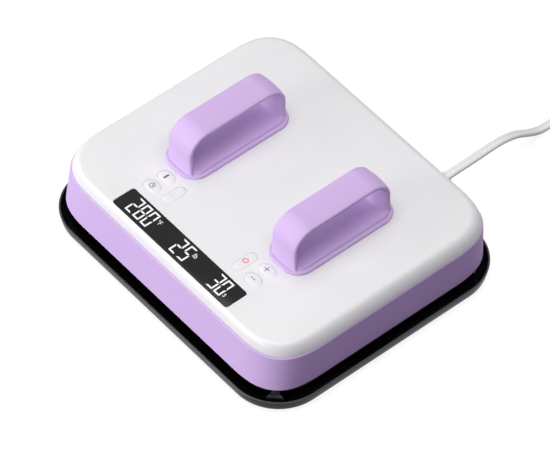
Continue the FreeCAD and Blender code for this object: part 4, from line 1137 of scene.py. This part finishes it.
def handle_distance(points):
    """Distance in mm from the handle's surface, below zero inside the plastic."""
    x, y, z = points[..., 0], points[..., 1], points[..., 2]
    side = from_rectangle(x, y, *FLANGE_HALF, FLANGE_CORNER)
    flange = soft_max(side, z - FLANGE_THICK, FLANGE_EDGE)
    half_x, half_y = FLANGE_HALF[0] - SADDLE_INSET, FLANGE_HALF[1] - SADDLE_INSET
    inner_side = from_rectangle(x, y, half_x, half_y, FLANGE_CORNER - SADDLE_INSET)
    across = np.clip(np.abs(x) / (half_x - DISH_MARGIN), 0, 1)
    along = np.clip((np.abs(y) - DISH_FLAT) / DISH_RUN, 0, 1)
    dish = DISH_DEPTH * np.cos(across * math.pi / 2) ** 2 * np.cos(along * math.pi / 2) ** 2
    saddle = soft_max(inner_side, z - (FLANGE_THICK + SADDLE_RISE - dish), SADDLE_EDGE)

    arch_half, arch_z = (GRIP_TOP + BURIED) / 2, z + (BURIED - GRIP_TOP) / 2
    arch = from_rectangle(y, arch_z, GRIP_HALF_LENGTH, arch_half, GRIP_SHOULDER)
    flare = GRIP_FLARE * np.exp(-np.maximum(z - FLARE_TOP, 0) / FLARE_FADE)
    spread = (x / GRIP_HALF_WIDTH) ** 2
    outer_face = arch + GRIP_CROWN * spread
    inner_face = -(arch + GRIP_BELLY - (GRIP_BELLY - GRIP_EDGE - GRIP_CROWN) * spread)
    strap = soft_max(outer_face, inner_face, MOUTH_EDGE)
    strap = soft_max(strap, np.abs(x) - (GRIP_HALF_WIDTH + flare), STRAP_EDGE)

    base = soft_min(flange, saddle, SEAT_BLEND)
    indoors = np.clip((GRIP_HALF_LENGTH - INDOORS_FROM - np.abs(y)) / INDOORS_RUN, 0, 1)
    whole = soft_min(base, strap, OUTER_FILLET + INNER_FILLET * indoors)
    return soft_max(whole, -z, UNDERSIDE_EDGE)


top_point = np.array((0.0, 0.0, GRIP_TOP))
print("from the top of the grip to its skin:", round(float(handle_distance(top_point)), 3), "mm")

# %% [markdown]
# The skin is a surface net. Each cell of a grid that the surface passes through gets one point,
# and each grid edge that the surface crosses gets one four-sided face between its four cells.
# Blender's metaballs and remeshing also lay such a skin, but they would lose the exact sizes.

# %% A skin where a distance is zero
SLIDE_STEPS = 6
SLOPE_STEP = 0.02
FLATTEST = 1e-6


def slope(field, points):
    """The direction in which the distance grows fastest."""
    parts = []
    for axis in range(3):
        shift = np.zeros(3)
        shift[axis] = SLOPE_STEP
        parts.append((field(points + shift) - field(points - shift)) / (2 * SLOPE_STEP))
    return np.stack(parts, -1)


def net(field, low, high, cell):
    """Points and faces of the surface where the field is zero."""
    axes = [np.arange(a, b + cell, cell) for a, b in zip(low, high)]
    grid = np.stack(np.meshgrid(*axes, indexing="ij"), -1)
    inside = field(grid) < 0
    size = [n - 1 for n in inside.shape]
    corners = sum(
        inside[i:i + size[0], j:j + size[1], k:k + size[2]].astype(int)
        for i in (0, 1) for j in (0, 1) for k in (0, 1)
    )
    crossed = (corners > 0) & (corners < 8)
    number = np.full(size, -1)
    number[crossed] = np.arange(crossed.sum())
    points = grid[:-1, :-1, :-1][crossed] + cell / 2
    for _ in range(SLIDE_STEPS):
        rise = slope(field, points)
        steepness = np.maximum((rise ** 2).sum(-1), FLATTEST)
        move = rise * (field(points) / steepness)[:, None]
        points = points - np.clip(move, -cell / 2, cell / 2)
    faces = []
    for axis in range(3):
        u, v = (axis + 1) % 3, (axis + 2) % 3
        here = np.take(inside, range(inside.shape[axis] - 1), axis)
        there = np.take(inside, range(1, inside.shape[axis]), axis)
        for outward, wanted in ((True, here & ~there), (False, ~here & there)):
            edge = np.argwhere(wanted)
            around = []
            for du, dv in ((-1, -1), (0, -1), (0, 0), (-1, 0)):
                cells = edge.copy()
                cells[:, u] += du
                cells[:, v] += dv
                around.append(number[cells[:, 0], cells[:, 1], cells[:, 2]])
            quads = np.stack(around, -1)
            faces.append(quads if outward else quads[:, ::-1])
    return points, np.concatenate(faces)


ball = net(lambda places: np.linalg.norm(places, axis=-1) - 1, (-2, -2, -2), (2, 2, 2), 0.5)
print("a net on a ball:", len(ball[0]), "points and", len(ball[1]), "faces")

# %% [markdown]
# ### The two handles
#
# Both handles come from the same mould, so the skin is worked out once, in millimetres, and set
# down at each handle's place. Cells of three quarters of a millimetre are fine enough for the
# smallest rounded edge, and keep a handle well below the limit for one piece.

# %% The two handles
HANDLE_CELL = 0.75
MARGIN = 2
handle_reach = (FLANGE_HALF[0] + MARGIN, FLANGE_HALF[1] + MARGIN)
points, faces = net(
    handle_distance,
    (-handle_reach[0], -handle_reach[1], -MARGIN),
    (handle_reach[0], handle_reach[1], GRIP_TOP + MARGIN),
    HANDLE_CELL,
)
for node in ("handle_left", "handle_right"):
    low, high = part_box(node)
    place = np.array(((low.x + high.x) / 2, (low.y + high.y) / 2, low.z))
    skin = (points * MM + place).tolist()
    handle = new_piece(node.replace("handle", "grip"), skin, faces.tolist())
    handle.data.shade_smooth()
    paint(handle, lilac_shell)
    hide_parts(node)
    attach(handle, "press")
    print(handle.name, len(handle.data.polygons), "faces")

# %% [markdown]
# ## The stand tray
#
# A glossy black dish: the outside wall leans out, the rim is narrow and rounded, and inside it
# slopes down to a flat floor. The top faces of the rim get a second, greyer and duller material
# of the same loft; its grey is a painted highlight, standing in for the line of light along the
# rim. A rim of its own would leave a seam.

# %% Stand tray
TRAY_CORNER = 0.053
TRAY_FLARE = 0.0016
FOOT_ROUND = 0.005
FOOT_STEPS = 7
RIM_WIDTH = 0.0022
RIM_ROUND = 0.0008
RIM_STEPS = 5
TRAY_SLOPE = 0.009
TRAY_SLOPE_STEPS = 8
FLOOR_THICK = 0.003
RIM_HIGHLIGHT_REACH = 1.1
tray_low, tray_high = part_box("base_tray")
rim_top = tray_high.z
floor_top = tray_low.z + FLOOR_THICK


def tray_ring(inset, z):
    """A ring of the tray at that height."""
    return outline(tray_high.x - inset, tray_high.y - inset, TRAY_CORNER - inset, z)


tray_rings = []
for across, up in quarter(FOOT_STEPS):
    inset = TRAY_FLARE + FOOT_ROUND * (1 - up)
    tray_rings.append(tray_ring(inset, tray_low.z + FOOT_ROUND * (1 - across)))
for across, up in quarter(RIM_STEPS):
    tray_rings.append(tray_ring(RIM_ROUND * (1 - across), rim_top - RIM_ROUND * (1 - up)))
for across, up in reversed(quarter(RIM_STEPS)):
    inset = RIM_WIDTH - RIM_ROUND * (1 - across)
    tray_rings.append(tray_ring(inset, rim_top - RIM_ROUND * (1 - up)))
for step in range(1, TRAY_SLOPE_STEPS + 1):
    share = step / TRAY_SLOPE_STEPS
    fall = (rim_top - RIM_ROUND - floor_top) * math.sin(share * math.pi / 2)
    tray_rings.append(tray_ring(RIM_WIDTH + TRAY_SLOPE * share, rim_top - RIM_ROUND - fall))
tray = loft("stand_tray", tray_rings)
soften(paint(tray, black_gloss), 50)
# The rim's grey is a painted highlight: it stands in for the light along the rounded rim.
tray.data.materials.append(plastic("rim_satin", (0.028, 0.028, 0.029), 0.30))
for face in tray.data.polygons:
    if face.center.z > rim_top - RIM_ROUND * RIM_HIGHLIGHT_REACH:
        face.material_index = 1
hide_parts("base_tray")
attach(tray, "tray")
print("tray:", len(tray.data.polygons), "faces")

# %% [markdown]
# Four wedges in the corners of the tray lead the press into place. Their upper faces slope
# outwards and are left matt, and their grey is a painted reflection of light in the tray's
# corners, so they show as small grey patches. Each is a block of eight points, and a bevel gives
# all four their rounded edges at once.

# %% Corner wedges
WEDGE_TOP = 0.0100
WEDGE_DROP = 0.0032
WEDGE_IN, WEDGE_OUT = 0.0335, 0.0395
WEDGE_NARROW, WEDGE_WIDE = 0.0030, 0.0085
WEDGE_SUNK = 0.0005
WEDGE_ROUND = 0.0008
BLOCK_FACES = (
    (0, 4, 6, 2), (1, 3, 7, 5), (0, 2, 3, 1), (4, 5, 7, 6), (0, 1, 5, 4), (2, 6, 7, 3),
)
inner_end = (WEDGE_IN, WEDGE_NARROW, WEDGE_TOP)
outer_end = (WEDGE_OUT, WEDGE_WIDE, WEDGE_TOP - WEDGE_DROP)
# The wedges' grey is a painted reflection of the light seen in the tray's corners.
wedge_grey = plastic("wedge_grey", (0.15, 0.15, 0.152), 0.34)
points, faces = [], []
for side_x, side_y in ((1, 1), (-1, 1), (-1, -1), (1, -1)):
    middle = Vector(((tray_high.x - TRAY_CORNER) * side_x, (tray_high.y - TRAY_CORNER) * side_y))
    outwards = Vector((side_x, side_y)).normalized()
    across = Vector((-outwards.y, outwards.x))
    first = len(points)
    for reach, half, top in (inner_end, outer_end):
        for hand in (-1, 1):
            spot = middle + outwards * reach + across * half * hand
            points += [(spot.x, spot.y, floor_top - WEDGE_SUNK), (spot.x, spot.y, top)]
    for face in BLOCK_FACES:
        faces.append(tuple(first + i for i in face))
wedges = paint(new_piece("corner_wedges", points, faces), wedge_grey)
rounding = wedges.modifiers.new("edge", "BEVEL")
rounding.width = WEDGE_ROUND
rounding.segments = 3
soften(baked(wedges), 40)
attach(wedges, "tray")
print("wedges: 4")

# %% [markdown]
# ## Floor and light
#
# The floor glows just enough to come out white to the camera and in reflections, and still takes
# the press's shadow. To the light that bounces off it, it is darker, so that the shaded side of
# the housing stays as deep as it is under one soft lamp. That bounce is a little violet, and so
# is the faint light of the sky, which keeps the lilac clear where no lamp reaches it. The cost is
# that white pieces look slightly violet in the same shade.

# %% Floor
FLOOR_SIZE = 8
FLOOR_ALBEDO = 0.26
FLOOR_GLOW = 0.86
FLOOR_TINT = (1.0, 0.80, 1.22)
WHITE = (1, 1, 1)
SEEN = ("Is Camera Ray", "Is Glossy Ray", "Is Transmission Ray")


def ray_is(tree, *kinds):
    """1 for a ray of any of these kinds, and 0 for every other ray."""
    rays = tree.nodes.new("ShaderNodeLightPath")
    found = rays.outputs[kinds[0]]
    for kind in kinds[1:]:
        either = tree.nodes.new("ShaderNodeMath")
        either.operation = "MAXIMUM"
        tree.links.new(found, either.inputs[0])
        tree.links.new(rays.outputs[kind], either.inputs[1])
        found = either.outputs[0]
    return found


corners = [(x * FLOOR_SIZE, y * FLOOR_SIZE, 0) for x, y in ((-1, -1), (1, -1), (1, 1), (-1, 1))]
floor = new_piece("floor", corners, [(0, 1, 2, 3)])
floor_material = bpy.data.materials.new("pale_floor")
floor_material.use_nodes = True
tree = floor_material.node_tree
tree.nodes.clear()
glow = between(tree, ray_is(tree, *SEEN), 0, FLOOR_GLOW)
bounce = mixed(
    tree, ray_is(tree, "Is Camera Ray"),
    shade(FLOOR_TINT, FLOOR_ALBEDO), shade(WHITE, FLOOR_ALBEDO),
)
matte = add(tree, "ShaderNodeBsdfDiffuse", Color=bounce)
bright = add(tree, "ShaderNodeEmission", Color=(*WHITE, 1), Strength=glow)
both = tree.nodes.new("ShaderNodeAddShader")
tree.links.new(matte.outputs[0], both.inputs[0])
tree.links.new(bright.outputs[0], both.inputs[1])
output = tree.nodes.new("ShaderNodeOutputMaterial")
tree.links.new(both.outputs[0], output.inputs["Surface"])
paint(floor, floor_material)
print("floor of", FLOOR_SIZE * 2, "m")

# %% [markdown]
# The sky is white where it is seen, in reflections too, and gives next to no light of its own, so
# that the lamps alone shape the press.

# %% World
SKY = 0.06
SKY_TINT = (1.0, 0.93, 1.08)
world = bpy.data.worlds.new("studio")
scene.world = world
world.use_nodes = True
tree = world.node_tree
background = tree.nodes["Background"]
sky_color = mixed(tree, ray_is(tree, "Is Camera Ray"), (*SKY_TINT, 1), (*WHITE, 1))
tree.links.new(sky_color, background.inputs["Color"])
sky_strength = between(tree, ray_is(tree, *SEEN), SKY, 1.0)
tree.links.new(sky_strength, background.inputs["Strength"])
print("sky at", SKY)

# %% [markdown]
# Three square lamps light the press, as soft boxes in a studio do. The front one and the one
# overhead do most of the work, and the left one only lifts the shade. Each is placed by its
# direction, and its power follows from the level that it gives to a surface that faces it.

# %% Soft lamps
LAMP_DISTANCE = 2.4


def soft_lamp(name, direction, side, level):
    """A square lamp that lights a facing surface at that level: 1 shows a colour as written."""
    data = bpy.data.lights.new(name, "AREA")
    data.shape = "SQUARE"
    data.size = side
    data.energy = level * math.pi ** 2 * LAMP_DISTANCE ** 2
    lamp = bpy.data.objects.new(name, data)
    scene.collection.objects.link(lamp)
    toward = Vector(direction).normalized()
    lamp.location = toward * LAMP_DISTANCE
    lamp.rotation_mode = "QUATERNION"
    lamp.rotation_quaternion = (-toward).to_track_quat("-Z", "Y")


soft_lamp("front_box", (-0.24, -0.96, 0.10), 1.3, 1.03)
soft_lamp("top_box", (0.03, 0.02, 1.00), 2.4, 0.98)
soft_lamp("left_box", (-0.90, -0.30, 0.35), 1.6, 0.14)
scene.view_settings.view_transform = "Standard"
print("lamps:", len(bpy.data.lights))

# %% [markdown]
# ## Finishes of the pieces that come from CAD
#
# The pieces whose shape is right as it comes from CAD stay, and only get their finish: bare metal
# with a fine grain, rubber feet, a silicone mat, the plug, and all that works inside the housing.
# A metal is one more recipe. Its noise can be stretched along one axis, which gives the fine
# lines of rolled sheet.

# %% Metals and inner plastics
METAL_BUMP = 0.00001
METAL_GRIP = 0.5
METAL_DRIFT = (0.93, 1.05)
METAL_WANDER = 0.08


def metal(name, color, roughness, grain=0.0006, stretch=(1, 1, 1)):
    """Bare metal: grain in metres, and stretched lines where the scale is small along an axis."""
    material, tree, shader = new_material(name)
    place = add(tree, "ShaderNodeTexCoord").outputs["Object"]
    turned = add(tree, "ShaderNodeMapping", Vector=place, Scale=stretch).outputs[0]
    lumps = add(tree, "ShaderNodeTexNoise", Vector=turned, Scale=1 / grain, Detail=3.0)
    lines = lumps.outputs["Fac"]
    tint = mixed(tree, lines, *(shade(color, factor) for factor in METAL_DRIFT))
    tree.links.new(tint, shader.inputs["Base Color"])
    gloss = between(tree, lines, roughness - METAL_WANDER, roughness + METAL_WANDER)
    tree.links.new(gloss, shader.inputs["Roughness"])
    bump = add(tree, "ShaderNodeBump", Height=lines, Distance=METAL_BUMP, Strength=METAL_GRIP)
    tree.links.new(bump.outputs["Normal"], shader.inputs["Normal"])
    shader.inputs["Metallic"].default_value = 1.0
    return material


plate_metal = metal("plate_metal", (0.34, 0.34, 0.35), 0.42)
sheet_steel = metal("sheet_steel", (0.60, 0.61, 0.62), 0.34, stretch=(1, 0.05, 1))
screw_steel = metal("screw_steel", (0.52, 0.53, 0.55), 0.32)
pin_metal = metal("pin_metal", (0.78, 0.76, 0.70), 0.24)
rubber = plastic("rubber_feet", (0.025, 0.025, 0.026), 0.75, grain=0.0009, depth=0.00006)
silicone = plastic("silicone_mat", (0.030, 0.030, 0.032), 0.62, grain=0.0016, depth=0.00005)
blanket = plastic("ceramic_blanket", (0.74, 0.72, 0.66), 0.95, grain=0.0015, depth=0.0002)
board = plastic("circuit_board", (0.02, 0.13, 0.05), 0.35, grain=0.0012)
dark_part = plastic("dark_component", (0.018, 0.018, 0.020), 0.45)
print("materials in all:", len(bpy.data.materials))

# %% [markdown]
# A table says which finish each CAD node wears, so that a wrong one is easy to see and to change.

# %% Finishes of the CAD nodes
FINISHES = {
    rubber: ("tray_feet",),
    silicone: ("tray_mat",),
    black_frame: ("lower_skirt", "display_module"),
    plate_metal: ("heating_plate", "load_cells", "heat_sink"),
    sheet_steel: ("handle_backing", "heating_element", "heat_shield", "chassis_plate"),
    screw_steel: (
        "handle_screws", "board_screws", "housing_screws", "plate_standoffs", "temperature_sensor",
    ),
    pin_metal: ("plug_pins",),
    blanket: ("insulation_blanket",),
    board: ("control_board", "power_board"),
    cord_jacket: ("plug_body", "strain_relief"),
    dark_part: (
        "tact_switches", "buzzer", "board_standoffs", "relay", "transformer", "capacitor",
        "terminal_block", "cable_clamp", "thermostat", "thermal_fuse",
    ),
}
for material, names in FINISHES.items():
    for name in names:
        paint(nodes[name], material)
print("CAD nodes painted:", sum(len(names) for names in FINISHES.values()))
